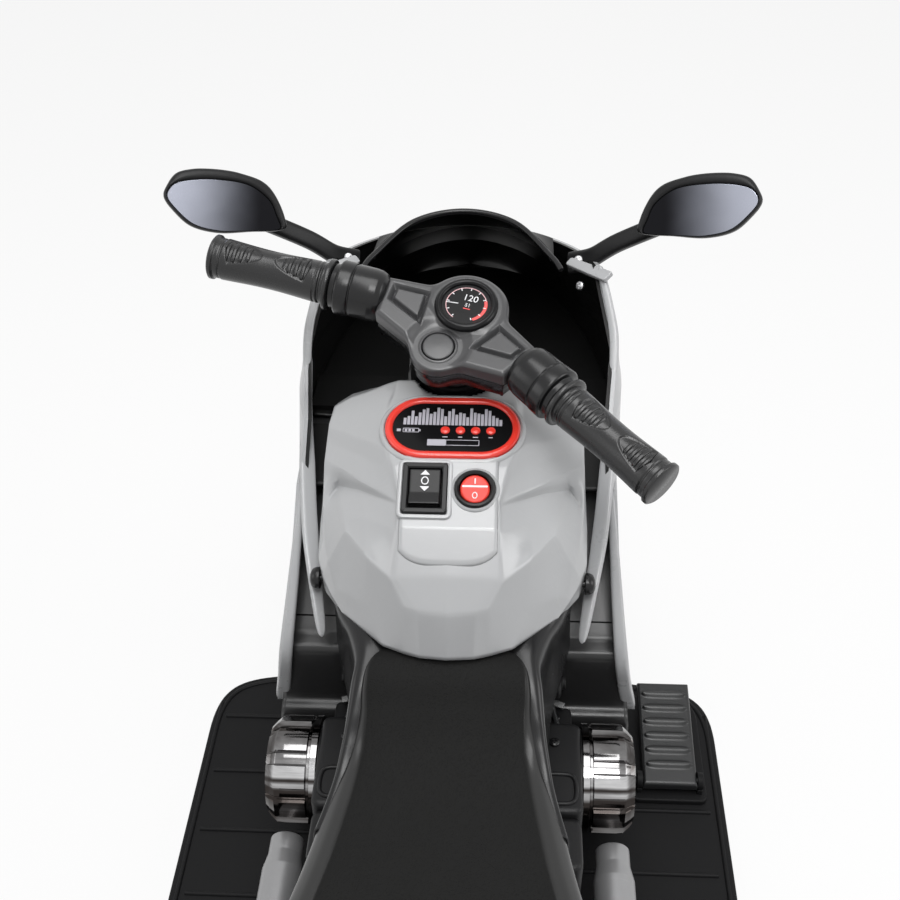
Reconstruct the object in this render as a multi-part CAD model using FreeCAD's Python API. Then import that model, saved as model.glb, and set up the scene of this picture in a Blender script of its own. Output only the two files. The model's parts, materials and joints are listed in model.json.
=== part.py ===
import FreeCAD, Part
import math
import os

# A small battery motorbike for a child: one steered front wheel, two rear wheels,
# a moulded body in two halves, a tank cover with switches, and a fairing with mirrors.
# Millimetres. +X is the rider's right, +Y is forward, the floor is Z 0.

Vec = FreeCAD.Vector

# Fits
CLEAR = 0.3
RUNNING = 0.08
WALL = 2.5
LINER_WALL = 2.0

# Overall layout
HALF_LENGTH = 400.0
REAR_TYRE_R = 85.0
REAR_TYRE_W = 50.0
WHEEL_INSET = 35.0
FRONT_TYRE_R = 88.0
FRONT_TYRE_W = 46.0
TYRE_CROWN = 17.0
TYRE_BAND = 32.0
AXLE_R = 5.0
FRONT_AXLE_Y = 286.0
RAKE = 20.0
REST_TURN = 30.0
REAR_AXLE_Y = REAR_TYRE_R - HALF_LENGTH
REAR_AXLE_Z = REAR_TYRE_R
FOOT_HALF = 190.0
REAR_WHEEL_X = FOOT_HALF - WHEEL_INSET

# Wheels
HUB_R = 16.0
WEB_HALF = 5.0
RIM_RING = 8.0
RIM_INSET = 3.0
HUB_PROUD = 4.0
SPOKE_HOLES = 5
SPOKE_HOLE_EDGE = 5.35

# Body halves
BODY_HALF = 50.0
BELLY_Z = 70.0
DECK_Z = 262.0
SADDLE_STEP = 50.0
SADDLE_Z = DECK_Z + SADDLE_STEP
SADDLE_REAR_Y = 26.0
SADDLE_FRONT_Y = 196.0
TAIL_OVERHANG = 53.0
TAIL_Y = REAR_AXLE_Y - TAIL_OVERHANG
AXLE_BACK = 30.0
TAIL_RISE = 120.0
BELLY_FRONT_Y = 120.0
THROAT_Y = 195.0
THROAT_LOW_Z = 170.0
THROAT_HIGH_Z = 240.0
NECK_HALF = 30.0
NECK_LOW = 142.0
NECK_TOP = 330.0
AXLE_BOSS_R = 14.0
SPACER_R = 9.0
EDGE_CHAMFER = 6.0

# Tank cover: each section has its Y and six points (X, height above the saddle) of one side
TANK_SECTIONS = [
    (178.0, [(0, 89), (33, 88), (60, 78), (73, 68), (77, 40), (77, 10)]),
    (141.0, [(0, 101), (42, 101), (63, 86), (78, 60), (82, 38), (80, 6)]),
    (92.0, [(0, 92.5), (40, 92.5), (61, 74), (78, 50), (82, 30), (79, 4)]),
    (61.0, [(0, 80.5), (32, 80.5), (52, 60), (72, 36), (76, 20), (73, 4)]),
    (40.0, [(0, 63), (28, 62), (46, 46), (62, 27), (66, 18), (62, 6)]),
    (22.0, [(0, 40), (24, 39), (37, 30), (48, 19), (51, 15), (47, 11)]),
    (14.0, [(0, 22), (18, 21.5), (28, 20.5), (36, 19.5), (39, 19), (37, 17)]),
]
TANK_RIBS_Y = [52.0, 150.0]
RIB_THICK = 3.0
BOOT_ROOM = 3.0
BOLT_Y = 82.0
BOLT_UP = 9.0
BOLT_HEAD_R = 6.5
BOLT_HEAD_H = 5.0
BOLT_SHANK_R = 2.0
BOLT_SHANK_LEN = 9.0

# Audio panel on the upper tank facet
AUDIO_LEN = 77.0
AUDIO_WIDE = 45.0
AUDIO_RING = 6.5
AUDIO_PROUD = 3.0
AUDIO_SKIRT = 6.0
AUDIO_LEDGE = 3.0
AUDIO_FACE_TOP = 1.6
AUDIO_FACE_LOW = -2.2
BUTTON_R = 3.1
BUTTON_AT = [-4.0, 4.6, 13.2, 21.8]
BUTTON_DOWN = -2.5
BUTTON_TOP = 2.6
BUTTON_FOOT = -0.9

# Drive rocker and power switch on the lower tank facet
ROCKER_BEZEL_X = 25.0
ROCKER_BEZEL_Y = 31.0
ROCKER_AT = -13.5
POWER_BEZEL_R = 11.5
POWER_AT = 14.0
BEZEL_PROUD = 2.2
BEZEL_LIP = 1.6
SWITCH_DEPTH = 20.0
SWITCH_WALL = 2.4
ROCKER_DEEP = 5.0
ROCKER_RISE = 2.6
ROCKER_DISH = 1.4
PIVOT_DOWN = 2.0
ROCKER_ROOM = 0.6
POWER_TIP = 8.0
PIVOT_FOOT = 2.5

# Seat: Y, height above the deck, half width at the top edge and at the side.
# The rear sections give Y ahead of the body's tail.
SEAT_SECTIONS = [
    (22.0, 56.0, 40.0, 47.0),
    (6.0, 56.0, 43.0, 49.0),
    (-27.0, 31.0, 46.0, 53.0),
    (-75.0, 26.0, 56.0, 64.0),
]
SEAT_REAR_SECTIONS = [
    (218.0, 27.0, 76.0, 86.0),
    (143.0, 38.0, 80.0, 90.0),
    (88.0, 58.0, 66.0, 76.0),
]
SEAT_CREASE = 0.55
SEAT_TUCK = 5.0
SEAT_EDGE = 3.0

# Tail cowl: Y ahead of the body's tail, half width, bottom and top above the deck
TAIL_SECTIONS = [
    (86.0, 74.0, 0.0, 52.0),
    (33.0, 62.0, 0.0, 66.0),
    (-18.0, 40.0, 20.0, 58.0),
]
TAIL_SHOULDER = 0.72
TAIL_RIBS_AT = [68.0, 23.0]
TAIL_LAMP_HALF = 24.0
TAIL_LAMP_H = 14.0
TAIL_LAMP_T = 7.0
TAIL_LAMP_UP = 32.0

# Upper fairing: height above its lower edge, then points (X, Y) from the nose to the rear edge
FAIRING_UP = 33.0
FAIRING_BASE_Z = SADDLE_Z + FAIRING_UP
FAIRING_LEVELS = [
    (0.0, [(0, 400), (50, 375), (84, 315), (101, 245), (97, 140)]),
    (30.0, [(0, 392), (48, 368), (82, 310), (101, 250), (95, 165)]),
    (50.0, [(0, 376), (44, 355), (76, 308), (98, 260), (100, 215)]),
]
RIM_POINTS = [(0, 356), (36, 344), (64, 314), (80, 284), (88, 255)]
RIM_REAR_UP = 89.0
RIM_SLOPE = 0.28
SCREEN_BASE = [(0, 354.4), (35, 342.6), (60, 317)]
SCREEN_TOP = [(0, 302), (33, 292), (59, 259)]
SCREEN_REAR_UP = 90.0
SCREEN_SLOPE = 0.25
SCREEN_WALL = 3.0
LAMP_OUTLINE = [(0, 8), (34, 14), (58, 34), (30, 40), (0, 32)]
WEB_Y = 205.0
WEB_LEN = 34.0
WEB_UP = 6.0
WEB_THICK = 4.0

# Lower side fairing: height below the upper fairing, then rear, middle and front (X, Y)
LOWER_ROWS = [
    (-0.6, [(99, 140), (102, 245), (85, 314)]),
    (-45.0, [(102, 102), (105, 225), (86, 318)]),
    (-79.0, [(106, 74), (108, 200), (82, 316)]),
    (-145.0, [(118, 86), (113, 170), (78, 290)]),
]
LINER_STEPS = [-79.0, -128.0]
STEP_Y0 = 98.0
STEP_Y1 = 178.0
BLADE_WALL = 3.0

# Slim side blades: Y, outer X, then top and bottom above the fairing's lower edge
BLADE_STATIONS = [
    (185.0, 92.4, 27.0, 4.0),
    (112.0, 90.6, -8.0, -32.0),
    (61.0, 80.0, -53.0, -56.0),
]

# Mirrors, right-hand side
MIRROR_X = 143.0
MIRROR_Y = 236.0
MIRROR_UP = 171.0
MIRROR_LONG = Vec(0.93, -0.22, 0.29)
MIRROR_FACE = Vec(-0.20, -0.80, 0.56)
MIRROR_OUTLINE = [(40, 6), (34, 16), (8, 17), (-23, 13), (-40, -4), (-37, -13), (-8, -18), (25, -15)]
MIRROR_DEEP = 20.0
MIRROR_BACK = 0.62
MIRROR_LIP = 3.0
GLASS_THICK = 2.0
GLASS_SUNK = 0.8
ARM_FOOT_X = 79.0
ARM_FOOT_Y = 284.0
FOOT_LONG = 24.0
FOOT_WIDE = 16.0
FOOT_TALL = 5.0
ARM_WIDE = 12.0
ARM_THICK = 8.0
ARM_TAPER = 0.8

# Footboards with rear mudguards
FOOT_TOP = 95.0
FOOT_THICK = 7.0
FOOT_FRONT_X = 110.0
FOOT_FRONT_Y = 196.0
FOOT_CORNER_IN = 14.0
FOOT_CORNER_Y = 184.0
FOOT_SIDE_Y = 166.0
FENDER_GAP = 10.0
FENDER_WALL = 4.0
FENDER_ARC = 118.0
FENDER_DROP = 3.0
FOOT_RIBS = 8
FOOT_RIB_REAR = 29.0
FOOT_RIB_FRONT_Y = 152.0
FOOT_RIB_W = 3.0
FOOT_RIB_H = 1.2
FOOT_RIB_INNER = 20.0
FOOT_RIB_OUTER = 10.0

# Accelerator pedal on the right footboard
PEDAL_EDGE = 20.0
PEDAL_WIDE = 38.0
PEDAL_REAR_Y = 91.0
PEDAL_LEN = 81.0
PEDAL_THICK = 6.0
PEDAL_RISE = 12.0
PEDAL_RIBS = 6
PEDAL_RIB_H = 1.6
PEDAL_RIB_W = 7.0
PEDAL_BASE_SIDE = 8.0
PEDAL_BASE_FRONT = 6.0
PEDAL_BASE_H = 4.0
PEDAL_PIN_R = 2.5
PEDAL_PIN_UP = 8.0
PEDAL_LUG = 4.0
PEDAL_LUG_Y = 12.0
PEDAL_SWITCH_H = 6.0
PEDAL_SWITCH_Y = 16.0

# Engine dress-up
ENGINE_Y = 30.0
ENGINE_Z = 203.0
BARREL_R = 33.0
BARREL_X0 = 80.0
BARREL_X1 = 112.0
BARREL_FLUTES = 14
FLUTE_DEPTH = 3.5
BARREL_TAPER = 7.0
BARREL_END = 0.86
BLOCK_R = 28.0
BLOCK_FINS = 4
FIN_T = 3.0
FIN_PROUD = 5.0
PIPE_R = 13.0
PIPE_X = 100.0
PIPE_Z = 176.0
PIPE_LEN = 170.0
PIPE_BORE = 85.0
PIPE_STAY = 10.0
PIPE_STAY_BACK = 70.0

# Drive train on the right of the rear axle
GEAR_MODULE = 1.5
GEAR_OUT_TEETH = 40
GEAR_IDLER_SMALL = 12
GEAR_IDLER_LARGE = 36
GEAR_PINION_TEETH = 10
GEAR_WIDTH = 8.0
GEAR_ADDENDUM = 0.6
GEAR_DEDENDUM = 1.05
GEAR_PRESSURE = 20.0
GEAR_BACKLASH = 0.25
GEAR_SIDE = 1.0
GEAR_FLANK_STEPS = 3
IDLER_ANGLE = 50.0
PINION_ANGLE = 20.0
GEARCASE_WALL = 2.5
GEARCASE_ROOM = 2.5
IDLER_POST_R = 3.0
MOTOR_R = 14.0
MOTOR_LEN = 31.0
MOTOR_SHAFT_R = 1.6
OUTPUT_BOSS_R = 11.0
OUTPUT_BOSS_FLATS = 6

# Inner pieces
BATTERY_X = 70.0
BATTERY_Y = 47.0
BATTERY_H = 101.0
BATTERY_AT_Y = -120.0
TERMINAL_H = 5.0
TERMINAL_W = 6.0
TERMINAL_T = 1.0
SPEAKER_R = 25.0
SPEAKER_H = 16.0
CONE_FLOOR_R = 6.0
CONE_DEEP = 8.0
SPEAKER_Y = 110.0
BOARD_Y = 60.0
BOARD_H = 40.0
BOARD_T = 1.6
BOARD_AT_Y = -20.0
BOARD_AT_Z = 150.0
RELAY_X = 13.0
RELAY_Y = 15.0
RELAY_H = 20.0
SOCKET_Y = -60.0
SOCKET_Z = 205.0
SOCKET_R = 6.0
SOCKET_FLANGE_R = 10.0
SOCKET_FLANGE_T = 3.0
SOCKET_LEN = 18.0
SOCKET_FLOOR = 9.0
SOCKET_PIN_R = 1.2
SOCKET_BORE_R = 3.4

# Steering column, fork and front mudguard, along the raked axis from the front axle
COLUMN_R = 11.0
BUSH_R = 16.0
BUSH_FLANGE_R = 20.0
BUSH_FLANGE_T = 3.0
BUSH_LEN = 18.0
CROWN_LOW = 112.0
CROWN_HALF_Y = 20.0
LEG_INNER = 30.0
LEG_T = 11.0
LEG_HALF_Y = 13.0
LEG_FOOT_R = 16.0
GUARD_GAP = 8.0
GUARD_WALL = 3.0
GUARD_HALF = 27.0
GUARD_BACK = 50.0
GUARD_FRONT = 62.0
AXLE_NUT_R = 9.0
AXLE_NUT_T = 6.0

# Handlebar: stations are measured up from the tank's crest
ARM_OVER_TANK = 30.0
ARM_HUB_Y = 12.0
SWEEP = 16.5
ARM_RISE = 3.0
STUB_R = 8.0
STUB_END = 149.0
GRIP_START = 80.0
GRIP_END = 154.0
GRIP_R = 11.5
GRIP_FLANGE_R = 13.5
GRIP_FLANGE_T = 4.0
GRIP_INNER_R = 15.0
COLLAR_START = 50.0
COLLAR_GAP = 1.0
COLLAR_STEP = 68.0
COLLAR_R = 15.5
COLLAR_SMALL_R = 14.0
BOOT_R = 22.0
BOOT_LOW = 4.0
HEAD_LOW = 14.0
HEAD_TOP = 10.0
HORN_LOBE_TOP = 6.0
ARM_TOP = 8.0
GAUGE_AT = 13.0
GAUGE_LOBE_R = 24.0
GAUGE_R = 15.0
GAUGE_SUNK = 4.0
GAUGE_PROUD = 2.5
GAUGE_RING = 2.2
DIAL_DOWN = 1.5
HORN_AT = -17.0
HORN_LOBE_R = 17.0
HORN_R = 10.0
HORN_TRAVEL = 2.0
HORN_PROUD = 1.0
ARM_ROOT_HALF = 17.0
ARM_TIP_HALF = 13.0
BASE_INSET = 1.0


# Plain solids
def box(x0, x1, y0, y1, z0, z1):
    return Part.makeBox(x1 - x0, y1 - y0, z1 - z0, Vec(x0, y0, z0))


def rod(start, direction, radius, length):
    return Part.makeCylinder(radius, length, start, direction)


def rod_x(x0, x1, y, z, radius):
    return rod(Vec(x0, y, z), Vec(1, 0, 0), radius, x1 - x0)


def face_of(points):
    return Part.Face(Part.makePolygon(points + [points[0]]))


def slab_x(outline, x0, x1):
    """A (Y, Z) outline carried from x0 to x1."""
    return face_of([Vec(x0, y, z) for y, z in outline]).extrude(Vec(x1 - x0, 0, 0))


def slab_z(outline, z0, z1):
    """An (X, Y) outline carried from z0 to z1."""
    return face_of([Vec(x, y, z0) for x, y in outline]).extrude(Vec(0, 0, z1 - z0))


def ruled(sections):
    """A solid with straight sides through closed polygons of equal count."""
    wires = [Part.makePolygon(section + [section[0]]) for section in sections]
    return Part.makeLoft(wires, True, True)


def mirrored(shape):
    return shape.mirror(Vec(0, 0, 0), Vec(1, 0, 0))


def pair(shape):
    """A right-hand piece and its left-hand twin, as two separate solids."""
    return Part.makeCompound([shape, mirrored(shape)])


def turned_x(profile):
    """A closed (X, radius) profile swept round the X axis."""
    return face_of([Vec(x, 0, r) for x, r in profile]).revolve(Vec(0, 0, 0), Vec(1, 0, 0), 360)


# Frames of the tilted pieces
MIRROR_AT = Vec(MIRROR_X, MIRROR_Y, SADDLE_Z + MIRROR_UP)
RAKE_RAD = math.radians(RAKE)
REST_LEAN = math.asin(math.sin(math.radians(REST_TURN)) * math.sin(RAKE_RAD))


def crown_radius(width):
    half = width / 2
    return (half * half + TYRE_CROWN * TYRE_CROWN) / (2 * TYRE_CROWN)


FRONT_CROWN_R = crown_radius(FRONT_TYRE_W)
FRONT_AXLE_Z = (FRONT_TYRE_R - FRONT_CROWN_R) * math.cos(REST_LEAN) + FRONT_CROWN_R
FRONT_AXLE = Vec(0, FRONT_AXLE_Y, FRONT_AXLE_Z)


def raked(shape):
    """Stands a piece built along Z from the front axle on the steering axis."""
    placed = shape.copy()
    placed.rotate(Vec(0, 0, 0), Vec(1, 0, 0), RAKE)
    placed.translate(FRONT_AXLE)
    return placed


def steered(shape):
    """As raked, turned to the right by the rest angle of the steering."""
    placed = shape.copy()
    placed.rotate(Vec(0, 0, 0), Vec(0, 0, 1), -REST_TURN)
    return raked(placed)


def along_axis(y, z):
    """Distance of a point up the steering axis, from the front axle."""
    return (z - FRONT_AXLE_Z) * math.cos(RAKE_RAD) - (y - FRONT_AXLE_Y) * math.sin(RAKE_RAD)


class Facet:
    """A tilted panel of the tank between two of its sections."""

    def __init__(self, front, rear):
        front_y, front_points = TANK_SECTIONS[front]
        rear_y, rear_points = TANK_SECTIONS[rear]
        rise = front_points[0][1] - rear_points[0][1]
        self.tilt = math.degrees(math.atan2(rise, front_y - rear_y))
        mid_z = SADDLE_Z + (front_points[0][1] + rear_points[0][1]) / 2
        self.middle = Vec(0, (front_y + rear_y) / 2, mid_z)

    def place(self, shape):
        placed = shape.copy()
        placed.rotate(Vec(0, 0, 0), Vec(1, 0, 0), self.tilt)
        placed.translate(self.middle)
        return placed


AUDIO_FACET = Facet(1, 2)
SWITCH_FACET = Facet(2, 3)
TANK_CREST = along_axis(TANK_SECTIONS[1][0], SADDLE_Z + TANK_SECTIONS[1][1][0][1])
ARM_S = TANK_CREST + ARM_OVER_TANK


# Body halves
def neck_block():
    return raked(box(-NECK_HALF, NECK_HALF, -NECK_HALF, NECK_HALF, NECK_LOW, NECK_TOP))


def body_outline(inset):
    """Side outline of the body, drawn in by a wall."""
    heel_y = REAR_AXLE_Y - AXLE_BACK
    low = BELLY_Z + inset
    return [
        (SADDLE_FRONT_Y - inset, SADDLE_Z - inset),
        (SADDLE_REAR_Y + inset, SADDLE_Z - inset),
        (SADDLE_REAR_Y + inset, DECK_Z - inset),
        (TAIL_Y + inset, DECK_Z - inset),
        (TAIL_Y + inset, BELLY_Z + TAIL_RISE),
        (heel_y + inset, low),
        (BELLY_FRONT_Y - inset, low),
        (THROAT_Y - inset, THROAT_LOW_Z),
        (THROAT_Y - inset, THROAT_HIGH_Z),
    ]


def body_slab(inset, x0):
    """The body's outline carried out to its side, with the outer edges bevelled, drawn in by a wall."""
    x1 = BODY_HALF - inset
    slab = slab_x(body_outline(inset), x0, x1)
    rim = [e for e in slab.Edges if min(v.X for v in e.Vertexes) > x1 - CLEAR]
    return slab.makeChamfer(EDGE_CHAMFER, rim)


def body_half():
    """Right half: side wall and rim, the half of the neck, and the axle boss."""
    outer = body_slab(0, 0)
    cavity = body_slab(WALL, -WALL)
    boss_end = GEARCASE_X0 - CLEAR
    boss = rod_x(0, boss_end, REAR_AXLE_Y, REAR_AXLE_Z, AXLE_BOSS_R)
    right_space = box(0, FOOT_HALF, -HALF_LENGTH, HALF_LENGTH, 0, 2 * HALF_LENGTH)
    half = outer.cut(cavity).fuse([neck_block().common(right_space), boss])
    half = half.cut(raked(rod(Vec(0, 0, 0), Vec(0, 0, 1), BUSH_R + RUNNING, ARM_S)))
    half = half.cut(rod_x(-FOOT_HALF, FOOT_HALF, REAR_AXLE_Y, REAR_AXLE_Z, AXLE_R + RUNNING))
    return half.removeSplitter()


def body_right():
    """Right half, with a window for the motor where the rear track is narrow enough to need it."""
    room = rod_x(GEARCASE_X0 - MOTOR_LEN - 2 * CLEAR, GEARCASE_X0, PINION_Y, PINION_Z, MOTOR_R + CLEAR)
    return body_half().cut(room)


def body_left():
    half = mirrored(body_half())
    socket = rod_x(-BODY_HALF - WALL, 0, SOCKET_Y, SOCKET_Z, SOCKET_R + CLEAR)
    return half.cut(socket)


# Tank cover
def tank_section(y, points, inset, drop):
    """One cross-section of the tank, drawn in by a wall; the lower edge can be dropped."""
    side = [(max(x - inset, 0), SADDLE_Z + h - inset) for x, h in points]
    side[-1] = (side[-1][0], side[-1][1] - drop)
    right = [Vec(x, y, z) for x, z in side]
    left = [Vec(-x, y, z) for x, z in reversed(side[1:])]
    return right + left


def tank_solid():
    return ruled([tank_section(y, points, 0, 0) for y, points in TANK_SECTIONS])


def tank_hollow():
    front_y, front_points = TANK_SECTIONS[0]
    before_y, before = TANK_SECTIONS[-2]
    tip_y, tip = TANK_SECTIONS[-1]
    middle = [((a + c) / 2, (b + d) / 2) for (a, b), (c, d) in zip(before, tip)]
    sections = [(front_y + WALL, front_points)] + TANK_SECTIONS[:-1]
    sections.append(((before_y + tip_y) / 2, middle))
    return ruled([tank_section(y, points, WALL, 2 * WALL) for y, points in sections])


def stadium(length, wide, low, high):
    half = (length - wide) / 2
    radius = wide / 2
    ends = [rod(Vec(x, 0, low), Vec(0, 0, 1), radius, high - low) for x in (-half, half)]
    middle = box(-half, half, -radius, radius, low, high)
    return middle.fuse(ends).removeSplitter()


def tank_cover():
    solid = tank_solid()
    shell = solid.cut(tank_hollow())
    ribs = []
    for y in TANK_RIBS_Y:
        ribs.append(box(-FOOT_HALF, FOOT_HALF, y, y + RIB_THICK, SADDLE_Z + CLEAR, 2 * HALF_LENGTH))
    shell = shell.fuse([rib.common(solid) for rib in ribs])
    boot_hole = rod(Vec(0, 0, NECK_LOW), Vec(0, 0, 1), BOOT_R + BOOT_ROOM, ARM_S)
    shell = shell.cut(raked(boot_hole))
    neck_room = raked(box(-NECK_HALF - CLEAR, NECK_HALF + CLEAR, -NECK_HALF - CLEAR, NECK_HALF + CLEAR,
                          NECK_LOW, NECK_TOP + CLEAR))
    shell = shell.cut(neck_room)
    hole = stadium(AUDIO_LEN - 2 * AUDIO_LEDGE, AUDIO_WIDE - 2 * AUDIO_LEDGE, -SADDLE_STEP, AUDIO_SKIRT)
    shell = shell.cut(AUDIO_FACET.place(hole))
    shell = shell.cut(SWITCH_FACET.place(rocker_well(CLEAR, BEZEL_PROUD)))
    shell = shell.cut(SWITCH_FACET.place(power_well(CLEAR, BEZEL_PROUD)))
    for side in (-1, 1):
        start = Vec(side * BODY_HALF, BOLT_Y, SADDLE_Z + BOLT_UP)
        shell = shell.cut(rod(start, Vec(side, 0, 0), BOLT_SHANK_R + CLEAR, BODY_HALF))
    return shell.removeSplitter()


def tank_side_x(y, height):
    """Half width of the tank at a Y and a height above the saddle, between two sections."""
    for (y1, p1), (y0, p0) in zip(TANK_SECTIONS, TANK_SECTIONS[1:]):
        if y0 <= y <= y1:
            share = (y - y0) / (y1 - y0)
            low = p0[-1][0] + share * (p1[-1][0] - p0[-1][0])
            high = p0[-2][0] + share * (p1[-2][0] - p0[-2][0])
            z_low = p0[-1][1] + share * (p1[-1][1] - p0[-1][1])
            z_high = p0[-2][1] + share * (p1[-2][1] - p0[-2][1])
            return low + (high - low) * (height - z_low) / (z_high - z_low)


def tank_bolts():
    """Round-headed bolts in the tank's lower corners."""
    seat_x = tank_side_x(BOLT_Y + BOLT_HEAD_R, BOLT_UP + BOLT_HEAD_R) + CLEAR
    head_at = Vec(seat_x, BOLT_Y, SADDLE_Z + BOLT_UP)
    head = rod(head_at, Vec(1, 0, 0), BOLT_HEAD_R, BOLT_HEAD_H)
    crown = [e for e in head.Edges if e.BoundBox.XMin > seat_x + BOLT_HEAD_H - CLEAR]
    head = head.makeFillet(BOLT_HEAD_H / 2, crown)
    shank = rod(head_at, Vec(-1, 0, 0), BOLT_SHANK_R, BOLT_SHANK_LEN)
    return pair(head.fuse(shank).removeSplitter())


# Audio panel
def audio_bezel():
    window = stadium(AUDIO_LEN - 2 * AUDIO_RING, AUDIO_WIDE - 2 * AUDIO_RING, -AUDIO_SKIRT, AUDIO_PROUD)
    ring = stadium(AUDIO_LEN, AUDIO_WIDE, CLEAR, AUDIO_PROUD)
    skirt_in = 2 * (AUDIO_LEDGE + CLEAR)
    skirt = stadium(AUDIO_LEN - skirt_in, AUDIO_WIDE - skirt_in, -AUDIO_SKIRT, CLEAR)
    return AUDIO_FACET.place(ring.fuse(skirt).cut(window).removeSplitter())


def audio_face():
    inset = 2 * (AUDIO_RING + CLEAR)
    plate = stadium(AUDIO_LEN - inset, AUDIO_WIDE - inset, AUDIO_FACE_LOW, AUDIO_FACE_TOP)
    for x in BUTTON_AT:
        start = Vec(x, BUTTON_DOWN, -AUDIO_SKIRT)
        plate = plate.cut(rod(start, Vec(0, 0, 1), BUTTON_R + CLEAR, 2 * AUDIO_SKIRT))
    return AUDIO_FACET.place(plate)


def audio_button(x):
    start = Vec(x, BUTTON_DOWN, BUTTON_FOOT)
    return AUDIO_FACET.place(rod(start, Vec(0, 0, 1), BUTTON_R, BUTTON_TOP - BUTTON_FOOT))


# Switches
def rocker_well(room, top):
    """The drive switch's body below its bezel, with room all round."""
    half_x = ROCKER_BEZEL_X / 2 - BEZEL_LIP + room
    half_y = ROCKER_BEZEL_Y / 2 - BEZEL_LIP + room
    return box(ROCKER_AT - half_x, ROCKER_AT + half_x, -half_y, half_y, -SWITCH_DEPTH - room, top)


def power_well(room, top):
    radius = POWER_BEZEL_R - BEZEL_LIP + room
    start = Vec(POWER_AT, 0, -SWITCH_DEPTH - room)
    return rod(start, Vec(0, 0, 1), radius, top + SWITCH_DEPTH + room)


ROCKER_HALF_X = ROCKER_BEZEL_X / 2 - BEZEL_LIP - SWITCH_WALL
ROCKER_HALF_Y = ROCKER_BEZEL_Y / 2 - BEZEL_LIP - SWITCH_WALL
POWER_HALF_Y = POWER_BEZEL_R - BEZEL_LIP - SWITCH_WALL
POWER_HALF_X = POWER_HALF_Y * math.cos(math.radians(45))


def rocker_room(at, half_x, half_y):
    """The cavity that a rocker tips in."""
    deep = PIVOT_DOWN + ROCKER_DEEP + ROCKER_ROOM
    return box(at - half_x, at + half_x, -half_y, half_y, -deep, BEZEL_PROUD + ROCKER_RISE)


def switch_bodies():
    """Both switch bodies: a rectangular one and a round one."""
    return Part.makeCompound([drive_switch_body(), power_switch_body()])


def drive_switch_body():
    bezel = box(ROCKER_AT - ROCKER_BEZEL_X / 2, ROCKER_AT + ROCKER_BEZEL_X / 2,
                -ROCKER_BEZEL_Y / 2, ROCKER_BEZEL_Y / 2, CLEAR, BEZEL_PROUD)
    body = bezel.fuse(rocker_well(0, CLEAR)).cut(rocker_room(ROCKER_AT, ROCKER_HALF_X, ROCKER_HALF_Y))
    return SWITCH_FACET.place(body.removeSplitter())


def power_switch_body():
    bezel = rod(Vec(POWER_AT, 0, CLEAR), Vec(0, 0, 1), POWER_BEZEL_R, BEZEL_PROUD - CLEAR)
    body = bezel.fuse(power_well(0, CLEAR)).cut(rocker_room(POWER_AT, POWER_HALF_X, POWER_HALF_Y))
    return SWITCH_FACET.place(body.removeSplitter())


def rocker(at, half_x, half_y, tip):
    """A dished key that tips about a pivot under its middle; tip is its angle at rest."""
    reach = half_y - ROCKER_ROOM
    top = BEZEL_PROUD + ROCKER_RISE
    outline = [
        (-reach, -PIVOT_DOWN + ROCKER_ROOM),
        (-reach + ROCKER_ROOM, top),
        (0, top - ROCKER_DISH),
        (reach - ROCKER_ROOM, top),
        (reach, -PIVOT_DOWN + ROCKER_ROOM),
        (PIVOT_FOOT, -PIVOT_DOWN - ROCKER_DEEP + ROCKER_ROOM),
        (-PIVOT_FOOT, -PIVOT_DOWN - ROCKER_DEEP + ROCKER_ROOM),
    ]
    key = slab_x(outline, at - half_x + CLEAR, at + half_x - CLEAR)
    key.rotate(Vec(at, 0, -PIVOT_DOWN), Vec(1, 0, 0), tip)
    return SWITCH_FACET.place(key)


# Seat and tail
def seat_stations():
    """All the seat's sections, from front to rear, with Y in the part's frame."""
    return SEAT_SECTIONS + [(TAIL_Y + y, *sizes) for y, *sizes in SEAT_REAR_SECTIONS]


def seat():
    sections = []
    for y, top, half_top, half_side in seat_stations():
        low = DECK_Z + CLEAR
        high = DECK_Z + top
        crease = DECK_Z + top * SEAT_CREASE
        right = [
            Vec(half_top - SEAT_TUCK, y, high),
            Vec(half_top, y, high - SEAT_EDGE),
            Vec(half_side, y, crease),
            Vec(half_side - SEAT_TUCK, y, low),
        ]
        left = [Vec(-p.x, p.y, p.z) for p in reversed(right)]
        sections.append(right + left)
    return ruled(sections)


def tail_sections(inset):
    sections = []
    for ahead, half, low, high in TAIL_SECTIONS:
        y = TAIL_Y + ahead
        base = DECK_Z + CLEAR + low
        top = DECK_Z + high - inset
        shoulder = DECK_Z + low + (high - low) * TAIL_SHOULDER
        right = [
            Vec((half - inset) * TAIL_SHOULDER, y, top),
            Vec(half - inset, y, shoulder - inset),
            Vec(half - inset, y, base - inset),
        ]
        left = [Vec(-p.x, p.y, p.z) for p in reversed(right)]
        sections.append(right + left)
    return sections


def tail_cowl():
    """Open-bottomed cowl behind the seat, with cross ribs that rest on the deck."""
    solid = ruled(tail_sections(0))
    inner = tail_sections(WALL)
    inner[0] = [Vec(p.x, p.y + WALL, p.z) for p in inner[0]]
    inner[-1] = [Vec(p.x, p.y + 2 * WALL, p.z) for p in inner[-1]]
    ribs = []
    for ahead in TAIL_RIBS_AT:
        y = TAIL_Y + ahead
        rib = box(-FOOT_HALF, FOOT_HALF, y, y + RIB_THICK, DECK_Z + CLEAR, 2 * HALF_LENGTH)
        ribs.append(rib.common(solid))
    cowl = solid.cut(ruled(inner)).fuse(ribs)
    seat_gap = seat_stations()[-1][0] - CLEAR
    return cowl.cut(box(-FOOT_HALF, FOOT_HALF, seat_gap, 0, 0, 2 * HALF_LENGTH)).removeSplitter()


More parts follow.
